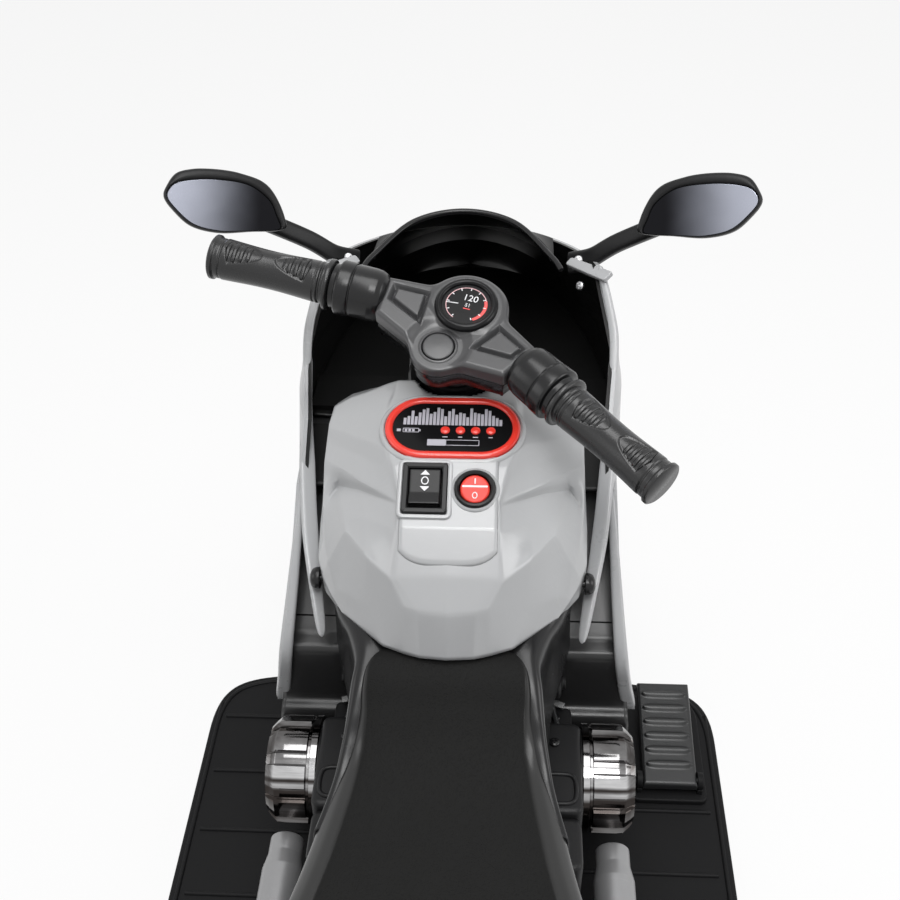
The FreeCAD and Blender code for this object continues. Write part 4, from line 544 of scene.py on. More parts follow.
GREY = (0.415, 0.42, 0.428)
FINISHES = {
    "body_black": moulded("gloss_black", (0.010, 0.010, 0.0105), 0.24, specular=0.30, scuffs=0.2),
    "tank_grey": moulded("tank_grey", GREY, 0.24, drift=0.03, scuffs=0.08, coat=0.25),
    "fairing_grey": moulded("fairing_grey", GREY, 0.28, drift=0.03, scuffs=0.25, coat=0.2),
    "liner_black": moulded("liner_black", (0.006, 0.006, 0.006), 0.34, specular=0.22, grain=0.03, pitch=0.8),
    "seat_black": pebbled("seat_grain", (0.0095, 0.0095, 0.0093), 0.66, 1.1, 0.22),
    "screen_smoke": moulded("screen_smoke", (0.003, 0.003, 0.0033), 0.42, specular=0.04),
    "panel_red": moulded("gloss_red", (0.80, 0.045, 0.030), 0.20, drift=0.05, coat=0.2),
    "panel_black": moulded("panel_black", (0.006, 0.006, 0.0065), 0.2, specular=0.15),
    "switch_black": moulded("switch_black", (0.008, 0.008, 0.0085), 0.30, specular=0.25, grain=0.03, pitch=0.5),
    "switch_red": moulded("switch_red", (0.74, 0.040, 0.025), 0.26, drift=0.10, specular=0.3),
    "charcoal": moulded("charcoal", (0.056, 0.056, 0.058), 0.29, specular=0.55, grain=0.05, pitch=0.7),
    "grip_rubber": moulded("grip_rubber", (0.012, 0.012, 0.0125), 0.27, specular=0.5, grain=0.06, pitch=0.6),
    "chrome_look": banded_plating("chrome_look"),
    "mirror_film": mirror_with_painted_reflection("mirror_film"),
    "lamp_clear": clear_tint("lamp_clear", (0.85, 0.87, 0.9), 0.06, 0.4),
    "lamp_red": moulded("lamp_red", (0.55, 0.015, 0.012), 0.12, drift=0.1, coat=0.5),
    "wheel_black": tread_rubber("tyre_black", (0.017, 0.017, 0.018)),
    "wheel_silver": moulded("wheel_silver", (0.42, 0.42, 0.43), 0.34, metallic=0.7, grain=0.03, pitch=0.5),
    "steel": plated("steel", (0.52, 0.52, 0.53), 0.25, 0.12),
    "gear_white": moulded("gear_white", (0.72, 0.71, 0.68), 0.42),
    "battery_grey": moulded("battery_grey", (0.10, 0.10, 0.11), 0.5),
    "board_green": moulded("board_green", (0.02, 0.16, 0.06), 0.4, drift=0.2),
    "bush_white": moulded("bush_white", (0.70, 0.70, 0.68), 0.45),
    "dial_black": moulded("dial_black", (0.006, 0.006, 0.0065), 0.22, specular=0.2),
}
PRINT_WHITE = moulded("print_white", (0.78, 0.78, 0.80), 0.4)
PRINT_LILAC = moulded("print_lilac", (0.46, 0.45, 0.50), 0.4)
PRINT_PINK = moulded("print_pink", (0.70, 0.42, 0.44), 0.4)
PRINT_RED = moulded("print_red", (0.86, 0.08, 0.075), 0.35)
SATIN = moulded("satin_black", (0.011, 0.011, 0.0115), 0.38, specular=0.20, grain=0.05, pitch=0.7)
SLEEVE = moulded("sleeve_black", (0.007, 0.007, 0.0075), 0.24, specular=0.36, grain=0.04, pitch=0.7)
TREAD_GREY = moulded("tread_grey", (0.015, 0.0155, 0.016), 0.32, specular=0.46, grain=0.05, pitch=0.7)
FLANK = moulded("flank_black", (0.022, 0.022, 0.0225), 0.30, specular=0.45, scuffs=0.2)
BOARD = moulded("board_black", (0.010, 0.010, 0.0105), 0.46, specular=0.10, grain=0.06, pitch=0.9)
EXHAUST = moulded("exhaust_silver", (0.30, 0.30, 0.305), 0.36, metallic=0.55, scuffs=0.2)
OWN = {"steering_column": SATIN}


def dress_nodes():
    """Every CAD node takes the finish of its slot in the record, or one of its own."""
    for part in frame["record"]["subparts"]:
        node = frame["nodes"][part["node"]]
        node.data.materials.clear()
        node.data.materials.append(OWN.get(part["node"], FINISHES[part["material_slot"]]))


# Frames of the tilted pieces
STEER_AT = np.array(joints["steering_turn"]["pos_m"]) / MM
STEER_UP = unit(joints["steering_turn"]["axis"])
STEER_RIGHT = unit(joints["front_spin"]["axis"])
STEER = square_to(STEER_AT, STEER_UP, STEER_RIGHT)
# height of the handlebar's arms along the steering axis
ARM_S = 385.88
HEAD = Place(STEER.at(0, 0, ARM_S), *STEER.axes)
HEAD_MIDDLE, DIAL_Y, DIAL_R, HORN_Y, HORN_R = 6.0, 13.0, 24.3, -17.0, 16.2
ARM_HUB_Y, ARM_END = 12.0, 49.0
SWEEP, RISE = math.radians(16.5), math.radians(3.0)
AUDIO = tilted((0, 116.5, 408.75), 9.84)
BUTTONS = (-4.0, 4.6, 13.2, 21.8)
SWITCH_SLOPE = 21.16
SWITCH = tilted((0, 76.5, 398.5), SWITCH_SLOPE)
DRIVE_X, POWER_X = -13.5, 14.0

# Tank cover: each row is a fold line from the middle out to the lower edge, as (X, Y, Z) on the right side
TANK_ROWS = [
    [(0, 178, 398), (34, 176, 398), (41.5, 172, 398.5), (53, 172, 394.5),
     (64.5, 172.5, 390), (74.5, 174, 381.5), (77.5, 174, 352), (77, 174, 322)],
    [(0, 160, 411), (34, 160, 410.5), (40.4, 159, 408.7), (53, 160, 401.5),
     (64, 162, 395.2), (75.5, 164, 386.5), (78.3, 162, 354), (77.8, 162, 320)],
    [(0, 139, 412.7), (36, 139, 412.4), (39.6, 135, 407.8), (52, 139, 400.4),
     (64.5, 147, 393.4), (76.4, 147.5, 386.5), (78.6, 146, 356), (78, 146, 318)],
    [(0, 104, 406.6), (36, 102.5, 406.2), (38.6, 104, 405.5), (51.2, 117.6, 399),
     (63.8, 131.2, 392.5), (76.4, 144.4, 385.8), (78.6, 140, 354), (78, 140, 317.5)],
    [(0, 92, 404.5), (32, 90, 403.4), (34.6, 91, 401), (49.6, 107, 393.6),
     (63, 122, 388), (76.8, 136.4, 381.6), (78.8, 133, 352), (78.2, 133, 317.2)],
    [(0, 71.4, 396.5), (27.6, 71.2, 396.2), (28.8, 71.6, 393.6), (51.8, 94.6, 387.2),
     (64.2, 108.6, 383), (76.6, 122.4, 378.6), (79, 120, 350), (78.5, 122, 317)],
    [(0, 69.5, 395.8), (27.6, 69.6, 395.4), (28.8, 70.6, 392.4), (52.6, 96.8, 378.4),
     (68.4, 112.6, 367.4), (76.2, 102.6, 360), (79.4, 104, 345), (78.2, 104, 316.6)],
    [(0, 56, 388.5), (28, 56, 388), (29.4, 56, 386.4), (46.5, 73, 379),
     (61.6, 82, 370.2), (73.8, 82, 351), (79.2, 86, 335), (79, 86, 316.5)],
    [(0, 36.5, 371), (27.5, 36.5, 369.8), (30.7, 36.5, 368.8), (45, 50.8, 371.2),
     (59, 71.5, 370.5), (70.4, 70, 347), (75.6, 74, 331), (74.4, 74, 317)],
    [(0, 24, 355.5), (16, 25.5, 356), (23.5, 27.3, 357), (44.4, 40.6, 343),
     (60.4, 54.9, 338.5), (66, 60, 333), (69, 62.5, 327), (67, 62.5, 318)],
    [(0, 14.4, 329), (15, 16.4, 328), (24, 20, 327), (36.4, 27, 325),
     (52, 43.2, 323), (60.5, 52.3, 322), (62, 54, 321), (60.5, 54.5, 318.5)],
]
TANK_ROW_STEPS = [10, 12, 16, 8, 14, 5, 16, 16, 16, 12]
TANK_COL_STEPS = [24, 6, 14, 14, 12, 14, 14]


def tank_grid():
    """Cage of fold lines filled with straight patches and eased a little at its creases."""
    return softened(whole(spread(spread(np.array(TANK_ROWS, float), TANK_ROW_STEPS, 0), TANK_COL_STEPS, 1)))


def in_tank_wells(middle):
    """Room for the neck, the audio panel and the two switches."""
    neck = np.linalg.norm(np.cross(middle - STEER_AT, STEER_UP), axis=1) < 25.0
    x, y, z = AUDIO.inner(middle)
    audio = (np.hypot(np.maximum(np.abs(x) - 16.0, 0), y) < 19.5) & (np.abs(z) < 8)
    x, y, z = SWITCH.inner(middle)
    drive = (np.abs(x - DRIVE_X) < 10.5) & (np.abs(y) < 13.5)
    power = np.hypot(x - POWER_X, y) < 10.0
    return neck | audio | ((drive | power) & (np.abs(z) < 8))


def make_tank():
    """Folded shell; a raised panel as a grid over (X, Y) with eased edges; lips carried round the wells."""
    piece("tank_shell", [without(sheet(tank_grid()), in_tank_wells)], "tank_grey", ["tank_cover"],
          crease=25, wall=2.4)
    half, front = 27.0, 97.0
    u = np.linspace(-1, 1, 61)[None]
    v = np.linspace(0, 1, 81)[:, None]
    rear = 41.0 + 6.0 * u ** 4
    x = half * u + 0 * v
    y = rear + (front - rear) * v
    edge = np.minimum(np.minimum(half - np.abs(x), y - rear), front - y)
    height = np.interp(y, *np.array([row[0][1:] for row in TANK_ROWS[::-1]]).T)
    z = height + 0.9 * ease(edge, 0.0, 1.6) - 0.5 * (1 - ease(edge, 0.0, 0.5))
    panel = without(sheet(np.stack([x, y, z], -1)), in_tank_wells)
    piece("tank_panel", [panel], "tank_grey", crease=50, wall=1.2)
    audio_lip = [(0.3, -0.6), (0.4, 1.0), (0.9, 1.4), (1.8, 1.3), (2.9, 0.3), (3.1, -0.6)]
    drive_lip = [(-0.8, -0.5), (-0.6, 1.3), (0.3, 1.5), (1.2, 1.2), (1.7, 0.2), (1.7, -0.5)]
    power_lip = [(11.6, -0.5), (11.7, 1.2), (12.3, 1.5), (13.0, 1.2), (13.6, 0.3), (13.6, -0.5)]
    lips = [AUDIO.out(band(stadium(77.4, 45.4), audio_lip)),
            SWITCH.out(band(rectangle(13.6, 16.6, 2.5), drive_lip), DRIVE_X),
            SWITCH.out(hoop(power_lip), POWER_X)]
    piece("tank_lips", lips, "tank_grey", crease=40)
    knob = filleted([(2.0, 70.0), (2.0, 78.4), (6.5, 78.5), (6.5, 81.0), (5.4, 83.4), (2.6, 84.6), (0.05, 84.8)],
                    [0, 0, 0.4, 0.8, 1.2, 1.2, 0], closed=False)
    piece("tank_bolt_heads", both(sideways(0, 82.0, 321.0).out(turned(knob, 64))), "body_black", ["tank_bolts"])
    flange = [(22.6, 0.0), (22.8, 3.6), (24.2, 4.6), (27.5, 4.2), (29.0, 2.4), (29.0, -8.0), (22.6, -8.0)]
    neck = square_to(STEER_AT, STEER_UP, ACROSS)
    piece("neck_ring", [neck.out(hoop(flange), z=340.0)], "body_black")


def make_audio():
    """Ring and face carried round a stadium, thin printed patches, and four turned buttons."""
    ring = [(0.0, 0.0), (0.0, 1.6), (-0.4, 2.4), (-1.2, 2.9), (-2.3, 3.0), (-3.5, 2.8), (-4.2, 2.2), (-4.5, 1.4),
            (-4.5, 0.0)]
    piece("audio_ring", [AUDIO.out(band(stadium(77.0, 45.0), ring))], "panel_red", ["audio_bezel"])
    piece("audio_panel", [AUDIO.out(plate(stadium(68.4, 36.4), -1.0, 1.5, 0.4))], "panel_black", ["audio_face"])
    low, high = 1.45, 1.62

    def patch(x, y, half_x, half_y, radius=0.1, top=high):
        return AUDIO.out(plate(rectangle(half_x, half_y, radius, 2), low, top, 0.03, 2), x, y)

    lengths = [5.0, 6.4, 10.6, 6.2, 9.2, 11.6, 12.6, 8.4, 9.8, 13.2, 12.2, 6.6, 10.6, 12.4, 8.0, 9.6, 9.0, 6.2,
               13.0, 9.8, 9.2, 8.6, 12.6, 11.4, 7.6, 6.0, 4.6]
    bars = [patch(-27.3 + 2.1 * k, 1.6 + long / 2, 0.8, long / 2) for k, long in enumerate(lengths)]
    piece("audio_bars", bars, "panel_black", finish=PRINT_LILAC)
    line = [(0, low), (0, high), (-0.4, high), (-0.4, low)]
    marks = [AUDIO.out(band(rectangle(half_x, half_y, 0.5, 3), line), x, y)
             for x, y, half_x, half_y in ((-23.5, -2.6, 4.6, 1.6), (6.0, -11.4, 9.5, 2.1))]
    marks += [patch(x, -2.6, 0.7, 0.9) for x in (-26.3, -24.2, -22.1)]
    marks += [patch(-18.4, -2.6, 0.4, 0.8, 0.2), patch(-30.4, -2.6, 1.1, 1.0, 0.2),
              patch(-8.6, -11.4, 5.2, 2.3, 0.2)]
    marks += [patch(x, -7.2, 1.5 - 0.3 * (k % 2), 0.35, top=1.6) for k, x in enumerate(BUTTONS)]
    piece("audio_marks", marks, "panel_black", finish=PRINT_LILAC)
    cap = filleted([(2.7, 0.3), (2.7, 2.3), (1.6, 2.75), (0.05, 2.9)], [0, 0.5, 1.2, 0], closed=False)
    for k, x in enumerate(BUTTONS, 1):
        piece("audio_cap_%d" % k, [AUDIO.out(turned(cap, 40), x, -2.5)], "panel_red", ["audio_button_%d" % k],
              "audio_key_%d" % k)


def rocker_skin(half_x, half_y, crease, height, front, rear, low):
    """Key top as a grid: two flats that meet in a crease, with rounded edges and straight sides."""
    u = np.linspace(-1, 1, 33)[None] * 1.06
    v = np.linspace(-1, 1, 49)[:, None] * 1.05
    x = half_x * np.clip(u, -1, 1) + 0 * v
    y = half_y * np.clip(v, -1, 1) + 0 * u
    fold = np.where(y > crease, (y - crease) * front, (crease - y) * rear)
    near = np.minimum(half_x - np.abs(x), half_y - np.abs(y))
    z = np.where((np.abs(u) > 1) | (np.abs(v) > 1), low, height + fold - rolled(near, 0.9))
    return sheet(np.stack([x, y, z], -1))


def make_switches():
    """Frames carried round a rectangle and a circle, with floors; the drive key and its raised marks."""
    bezel = [(0, 0.2), (0, 1.9), (-0.6, 2.5), (-2.6, 2.6), (-3.4, 2.0), (-3.6, -6.0), (-1.2, -6.0)]
    ring = [(11.5, 0.2), (11.5, 2.0), (10.9, 2.8), (9.8, 3.0), (8.9, 2.4), (8.8, -6.0), (11.0, -6.0)]
    parts = [SWITCH.out(band(rectangle(12.5, 15.5, 2.0), bezel), DRIVE_X),
             SWITCH.out(hoop(ring), POWER_X),
             SWITCH.out(plate(rectangle(9.6, 12.4, 0.5), -7.0, -5.8, 0.2), DRIVE_X),
             SWITCH.out(turned([(9.0, -7.0), (9.0, -5.8)], 48), POWER_X)]
    piece("switch_frames", parts, "switch_black", ["switch_bodies"])
    key = rocker_skin(8.5, 10.9, crease=-3.2, height=3.0, front=0.03, rear=0.16, low=-3.5)
    piece("drive_key_cap", [SWITCH.out(key, DRIVE_X)], "switch_black", ["drive_rocker"], "drive_key", wall=0.6)
    middle = 3.6
    marks = []
    for side in (1, -1):
        arrow = evenly(np.array([(-2.6, 0.0), (2.6, 0.0), (0.0, 2.9 * side)]), 24)
        marks.append(SWITCH.out(plate(arrow, 3.0, 3.5, 0.03, 2), DRIVE_X, middle + 3.6 * side))
    line = [(0, 3.0), (0, 3.42), (-0.6, 3.42), (-0.6, 3.0)]
    marks.append(SWITCH.out(band(oval(2.1, 2.5, 48), line), DRIVE_X, middle))
    piece("drive_key_marks", marks, "switch_black", (), "drive_key", PRINT_WHITE)


def make_power_key():
    """Round key top on a polar grid: two flats that meet in a shallow fold, with a rounded edge and a skirt."""
    # it rests tipped about its pivot, with its lower end pressed
    place = tilted(SWITCH.at(POWER_X, 0, -2.0), SWITCH_SLOPE + 8.0)
    share = np.concatenate([np.linspace(0.02, 0.85, 24), np.linspace(0.87, 1.0, 8)])[:, None]
    a = turns(96)
    r = 8.2 * share
    top = polar(r, a, 4.4 + 0.05 * np.abs(r * np.sin(a)) - 7.5 * rolled(1 - share, 0.16))
    cap = tube(np.concatenate([top, polar(r[-1:], a, -1.5)]))
    piece("power_key_cap", [place.out(cap)], "switch_red", ["power_rocker"], "power_key")
    low = 4.2
    line = [(0, low), (0, 4.82), (-0.5, 4.82), (-0.5, low)]
    marks = [place.out(plate(rectangle(7.0, 0.55, 0.3, 3), low, 4.64, 0.05, 2), 0, 1.6),
             place.out(plate(rectangle(0.4, 1.6, 0.1, 2), low, 4.84, 0.05, 2), 0, 4.6),
             place.out(band(oval(1.5, 1.9, 96), line), 0, -3.6)]
    piece("power_key_marks", marks, "switch_red", (), "power_key", PRINT_WHITE)


# Handlebar head
def arm_line(side):
    """Frame of one handlebar arm: Z along it from the hub, X towards the top."""
    flat = math.cos(RISE)
    local = np.array([side * math.cos(SWEEP) * flat, -math.sin(SWEEP) * flat, math.sin(RISE)])
    return square_to(HEAD.at(0, ARM_HUB_Y, 0), local @ STEER.axes, STEER_UP)


def arm_coords(x, y, side):
    """Distance along one arm from the hub and across it, seen from above."""
    along = side * math.cos(SWEEP) * x - math.sin(SWEEP) * (y - ARM_HUB_Y)
    across = math.sin(SWEEP) * x + side * math.cos(SWEEP) * (y - ARM_HUB_Y)
    return along, across


def join(a, b, round_by):
    """Smooth least of two distances."""
    h = np.clip(0.5 + 0.5 * (b - a) / round_by, 0, 1)
    return b * (1 - h) + a * h - round_by * h * (1 - h)


def head_distance(x, y):
    """Distance outside the head's outline: gauge lobe, horn lobe and two tapering arms, with rounded corners."""
    side = np.abs(x)
    gauge = np.hypot(x, y - DIAL_Y) - DIAL_R
    horn = np.hypot(x, y - HORN_Y) - HORN_R
    upper = (y - 16.0 + 0.357 * (side - 27.5)) / 1.062
    lower = (0.216 * (side - 19.0) - 22.0 - y) / 1.023
    arms = np.maximum(np.maximum(upper, lower), arm_coords(side, y, 1)[0] - ARM_END)
    return join(join(gauge, horn, 6.0), arms, 5.0)


def figure_distance(u, v, corners):
    """Distance outside a convex figure: the greatest of those from its sides."""
    p = np.array(corners, float)
    along = np.roll(p, -1, 0) - p
    normal = np.stack([along[:, 1], -along[:, 0]], 1) / np.linalg.norm(along, axis=1, keepdims=True)
    normal *= np.sign(((p - p.mean(0)) * normal).sum(1))[:, None]
    return np.max([a * (u - c) + b * (v - d) for (a, b), (c, d) in zip(normal, p)], 0)


PAD_GROOVE = [(21.6, 6.4), (44.6, 6.4), (45.0, -5.4), (21.4, -17.6)]
PAD_TOP = [(25.4, 3.2), (41.0, 3.2), (41.2, -3.0), (25.2, -11.4)]


def head_top(x, y):
    """Height of the cover: arms, a higher gauge lobe, a lower horn lobe, pads in sunken frames, a rounded rim."""
    horn_top, dial_top = 6.2, 10.2
    rise = sum(np.clip(arm_coords(x, y, side)[0], 0, ARM_END) for side in (-1, 1)) * math.tan(RISE)
    from_dial = np.maximum(np.hypot(x, y - DIAL_Y), 1e-6)
    from_horn = np.hypot(x, y - HORN_Y)
    reach = DIAL_R - 5.0 * ease((DIAL_Y - y) / from_dial, 0.3, 0.85)
    gauge = ease(reach - from_dial, 0.0, 4.5)
    horn = ease(HORN_R - from_horn, -4.0, 3.0)
    z = (8.0 + rise) * (1 - horn) + horn_top * horn
    z = z * (1 - gauge) + dial_top * gauge
    flat = ease(14.6 - from_horn, 0.0, 2.2)
    z = z * (1 - flat) + horn_top * flat
    for side in (-1, 1):
        along, across = arm_coords(x, y, side)
        groove = np.clip(-figure_distance(along, side * across, PAD_GROOVE) / 2.2, 0, 1)
        pad = np.clip(1 - figure_distance(along, side * across, PAD_TOP) / 1.3, 0, 1)
        z = z + (3.0 * pad - 3.6 * groove) * (1 - gauge)
    return z - rolled(-head_distance(x, y), 3.0)


def head_outline(count):
    """Radius of the outline for each direction from the middle of the head, by bisection."""
    a = turns(count)
    low, high = np.full(count, 4.0), np.full(count, 80.0)
    for _ in range(40):
        mid = (low + high) / 2
        inside = head_distance(mid * np.cos(a), HEAD_MIDDLE + mid * np.sin(a)) < 0
        low, high = np.where(inside, mid, low), np.where(inside, high, mid)
    return a, low


def make_head():
    """Cover on a polar grid inside the outline, with a well for the horn; base of inset outlines; turned boot."""
    a, reach = head_outline(480)
    share = np.concatenate([np.linspace(0.02, 0.9, 84), np.linspace(0.908, 1.0, 14)])[:, None]
    x, y = share * reach * np.cos(a), HEAD_MIDDLE + share * reach * np.sin(a)
    top = np.stack([x, y, head_top(x, y)], -1)

    def in_well(middle):
        return (np.hypot(middle[:, 0], middle[:, 1] - HORN_Y) < 10.2) & (middle[:, 2] > 1.0)

    cover = without(tube(np.concatenate([top, raised(top[-1:, :, :2], 0.3)])), in_well)
    well = [(9.3, -1.0), (9.3, 6.0), (9.8, 6.7), (10.8, 6.7), (11.4, 6.0), (11.4, -1.0)]
    surfaces = [HEAD.out(cover), HEAD.out(hoop(well), y=HORN_Y),
                HEAD.out(turned([(9.8, -3.4), (9.8, -2.4)], 64), y=HORN_Y)]
    piece("head_cover", surfaces, "charcoal", ["handlebar_cover"], "steering", crease=50)
    outline = top[-1, :, :2]
    inset, up = np.array([(6.0, -15.5), (3.0, -15.0), (1.8, -13.4), (1.3, -5.0), (0.5, -4.6), (0.5, -1.6),
                          (1.3, -1.2), (1.3, 0.4)]).T[:, :, None, None]
    base = tube(raised(outline - outward(outline) * inset, up))
    boot = filleted([(19.0, 337.0), (21.8, 337.5), (21.8, 346.0), (20.4, 348.0), (21.6, 350.4), (20.2, 352.6),
                     (21.2, 355.0), (19.6, 357.4), (20.4, 360.0), (18.4, 363.0), (18.4, ARM_S - 12.0)],
                    0.9, 4, closed=False)
    piece("head_base", [HEAD.out(base), STEER.out(turned(boot))], "charcoal", ["handlebar_base"], "steering",
          SLEEVE, crease=50)


def make_gauge():
    """Ring and face turned about the dial's axis, which is itself turned a little; thin arcs, strokes, figures."""
    t = math.radians(15.0)
    across = math.cos(t) * STEER.axes[0] + math.sin(t) * STEER.axes[1]
    dial = square_to(HEAD.at(0, DIAL_Y, 0), STEER_UP, across)

    def printed(outline, high, x=0.0, y=0.0):
        return dial.out(plate(outline, 11.15, high, 0.02, 2), x, y)

    def ray(degrees):
        return np.stack([np.cos(np.radians(degrees)), np.sin(np.radians(degrees))], -1)

    def arc(inner, outer, start, end, high):
        rays = ray(np.linspace(start, end, 60))
        return printed(np.concatenate([outer * rays[::-1], inner * rays])[::-1], high)

    def stroke(angle, inner, outer, half):
        long, wide = ray(angle), ray(angle + 90.0) * half
        return printed(np.array([long * inner - wide, long * outer - wide, long * outer + wide,
                                 long * inner + wide]), 11.38)

    ring = filleted([(18.2, 9.4), (18.2, 11.4), (16.9, 13.0), (15.2, 13.2), (14.0, 12.2), (13.8, 9.4)],
                    [0.2, 1.0, 1.2, 0.8, 0.6, 0.2])
    piece("gauge_ring", [dial.out(hoop(ring))], "dial_black", ["gauge"], "steering")
    piece("gauge_dial", [dial.out(turned([(14.2, 9.6), (14.2, 11.2)], 72))], "dial_black", (), "steering")
    ticks = [stroke(240 - 30 * k, 9.9, 11.4, 0.28) for k in range(11)]
    ticks += [stroke(186, 4.6, 11.6, 0.26), lettering("120", 6.0, dial, 1.4, 4.4, 11.3, 0.2),
              lettering("51", 3.4, dial, 1.0, -0.6, 11.3, 0.2)]
    red = [arc(10.3, 12.1, -56, 26, 11.28), printed(rectangle(2.0, 0.3, 0.1, 2), 11.3, 1.0, -3.0)]
    piece("gauge_ticks", ticks, "dial_black", (), "steering", PRINT_WHITE)
    piece("gauge_band", [arc(11.3, 11.8, 24, 246, 11.3)], "dial_black", (), "steering", PRINT_PINK)
    piece("gauge_red", red, "dial_black", (), "steering", PRINT_RED)


def make_horn():
    """Turned cap with a rounded edge."""
    cap = filleted([(8.8, 0.0), (8.8, 7.0), (0.05, 7.3)], [0, 1.0, 0], closed=False)
    piece("horn_cap", [HEAD.out(turned(cap, 72), y=HORN_Y)], "charcoal", ["horn_button"], "horn")


# Grips and collars
def grip_skin():
    """Turned grip: flanges at both ends, a waist, and two teardrop zones with cross ribs on top and below."""
    s = np.linspace(80.0, 154.0, 300)[:, None]
    a = turns(120)
    body = 12.3 - 1.1 * ridge(s, 118.0, 34.0)
    inner = 15.0 * np.sqrt(np.clip(1 - ((s - 82.0) / 2.6) ** 4, 0, 1))
    outer_flare = 11.9 + 1.3 * ease(s, 150.4, 151.6) - 1.0 * ease(s, 153.2, 154.0)
    r = np.where(s < 84.2, np.maximum(inner, 11.4), body)
    r = np.where(s > 148.0, outer_flare, r)
    r = r - 0.8 * ridge(s, 86.2, 1.2) - 0.5 * ridge(s, 89.0, 0.9) - 0.7 * ridge(s, 147.2, 1.2)
    reach = np.abs(s - 118.5)
    half = 0.86 * np.clip((reach - 4.0) / 20.0, 0, 1) ** 0.42 * (1 - ease(reach, 23.0, 26.5))
    rib = 1.15 * ease(np.cos(TAU * s / 4.2), -0.5, 0.6)
    for top in (0.0, math.pi):
        gap = np.abs((a - top + math.pi) % TAU - math.pi)
        zone = ease(half - gap, 0.0, 0.10) * (half > 0.02)
        ribbed = ease(reach, 9.0, 11.0) * ease(half - gap, 0.08, 0.2)
        r = r + zone * (-1.1 + ribbed * rib)
    return tube(polar(r, a, s))


COLLAR = [(8.6, 47.0), (11.2, 47.4), (13.6, 49.2), (14.9, 52.0), (15.4, 55.5), (15.5, 66.4), (14.8, 66.8),
          (14.8, 67.5), (15.8, 67.9), (16.1, 75.0), (15.4, 76.0), (13.0, 76.6), (13.0, 79.7), (8.6, 79.7)]


def make_grips():
    """A grip and a turned sleeve along each arm."""
    arms = [arm_line(side) for side in (-1, 1)]
    collar = turned(filleted(COLLAR, 0.5, 4, closed=False))
    piece("grip_rubbers", [arm.out(grip_skin()) for arm in arms], "grip_rubber", ["grips"], "steering", crease=60)
    piece("grip_sleeves", [arm.out(collar) for arm in arms], "charcoal", ["grip_collars"], "steering", SLEEVE,
          crease=40)


# Mirrors
MIRROR = lying((143.0, 236.0, 483.0), (0.93, -0.22, 0.29), (-0.20, -0.80, 0.56))
MIRROR_OUTLINE = [(37.1, 0.6), (35.9, 7.7), (31.3, 15.6), (22.8, 19.5), (13.4, 21.4), (2.4, 22.3), (-7.4, 21.9),
                  (-20.4, 19.4), (-29.0, 12.9), (-36.6, 0.6), (-37.2, -7.8), (-17.0, -12.3), (2.3, -16.0),
                  (19.1, -14.4), (30.9, -6.6)]
GLASS_OUTLINE = [(35.6, 1.5), (31.9, 9.0), (22.1, 13.0), (5.9, 15.8), (-12.4, 15.7), (-25.9, 8.8), (-32.1, -0.8),
                 (-35.2, -7.0), (-30.9, -9.6), (-11.4, -13.0), (2.4, -14.9), (17.8, -13.3), (29.6, -5.7)]
# share of the way from glass to housing, scale, depth
MIRROR_RINGS = [(0.0, 0.99, -3.0), (0.0, 1, -0.6), (0.12, 1, 0.2), (0.35, 1, 0.5), (0.7, 1, -0.1), (0.92, 1, -1.2),
                (1, 1, -2.6), (1, 0.995, -5.0), (1, 0.97, -9.0), (1, 0.91, -13.5), (1, 0.8, -17.5),
                (1, 0.64, -20.4), (1, 0.42, -22.2), (1, 0.18, -23.0), (1, 0.03, -23.2)]


def by_angle(outline, count=160):
    """Closed curve through the points, sampled at equal angles round the middle."""
    curve = spline(outline, 600, True)
    angle = np.arctan2(curve[:, 1], curve[:, 0])
    order = np.argsort(angle)
    at = (np.arange(count) + 0.5) / count * TAU - math.pi
    reach = np.interp(at, angle[order], np.hypot(curve[:, 0], curve[:, 1])[order], period=TAU)
    return np.stack([reach * np.cos(at), reach * np.sin(at)], 1)


def mirror_arm():
    """Flat arm that widens into its foot; a rounded box section carried along a bent path."""
    path = spline([(70.5, 276.0, 422.0), (83.0, 268.0, 431.0), (99.0, 261.0, 446.5),
                   MIRROR.at(-24.0, -3.0, -12.0)], 40)
    t = ease(np.linspace(0, 1, 40), 0.1, 0.5)
    size = np.stack([7.4 - 1.6 * t, 2.6 + 1.4 * t], 1)
    return sweep(path, oval(1, 1, 32, 0.55) * size[:, None], unit((-0.1, -0.7, 0.7)))


def make_mirrors():
    """Rings from the glass's seat over a wide rounded lip to the domed back; a flat plate with a low crown."""
    glass, house = by_angle(GLASS_OUTLINE), by_angle(MIRROR_OUTLINE)
    share, scale, depth = np.array(MIRROR_RINGS).T[:, :, None, None]
    shell = MIRROR.out(tube(raised((glass * (1 - share) + house * share) * scale, depth)))
    piece("mirror_shells", both(shell, mirror_arm()), "body_black", ["mirror_housings"], finish=SATIN, crease=55)
    film = plate(glass * 0.985, -2.8, -0.7, 0.2, 3, crown=0.2)
    # painted reflection value for the film: 0 at the glass's inner end, 1 at its outer end
    painted_reflection = np.tile((film[0][:, 0] + 36.0) / 72.0, 2)
    piece("mirror_plates", both(MIRROR.out(film)), "mirror_film", ["mirror_glasses"], crease=12,
          marks={"painted_reflection": painted_reflection})


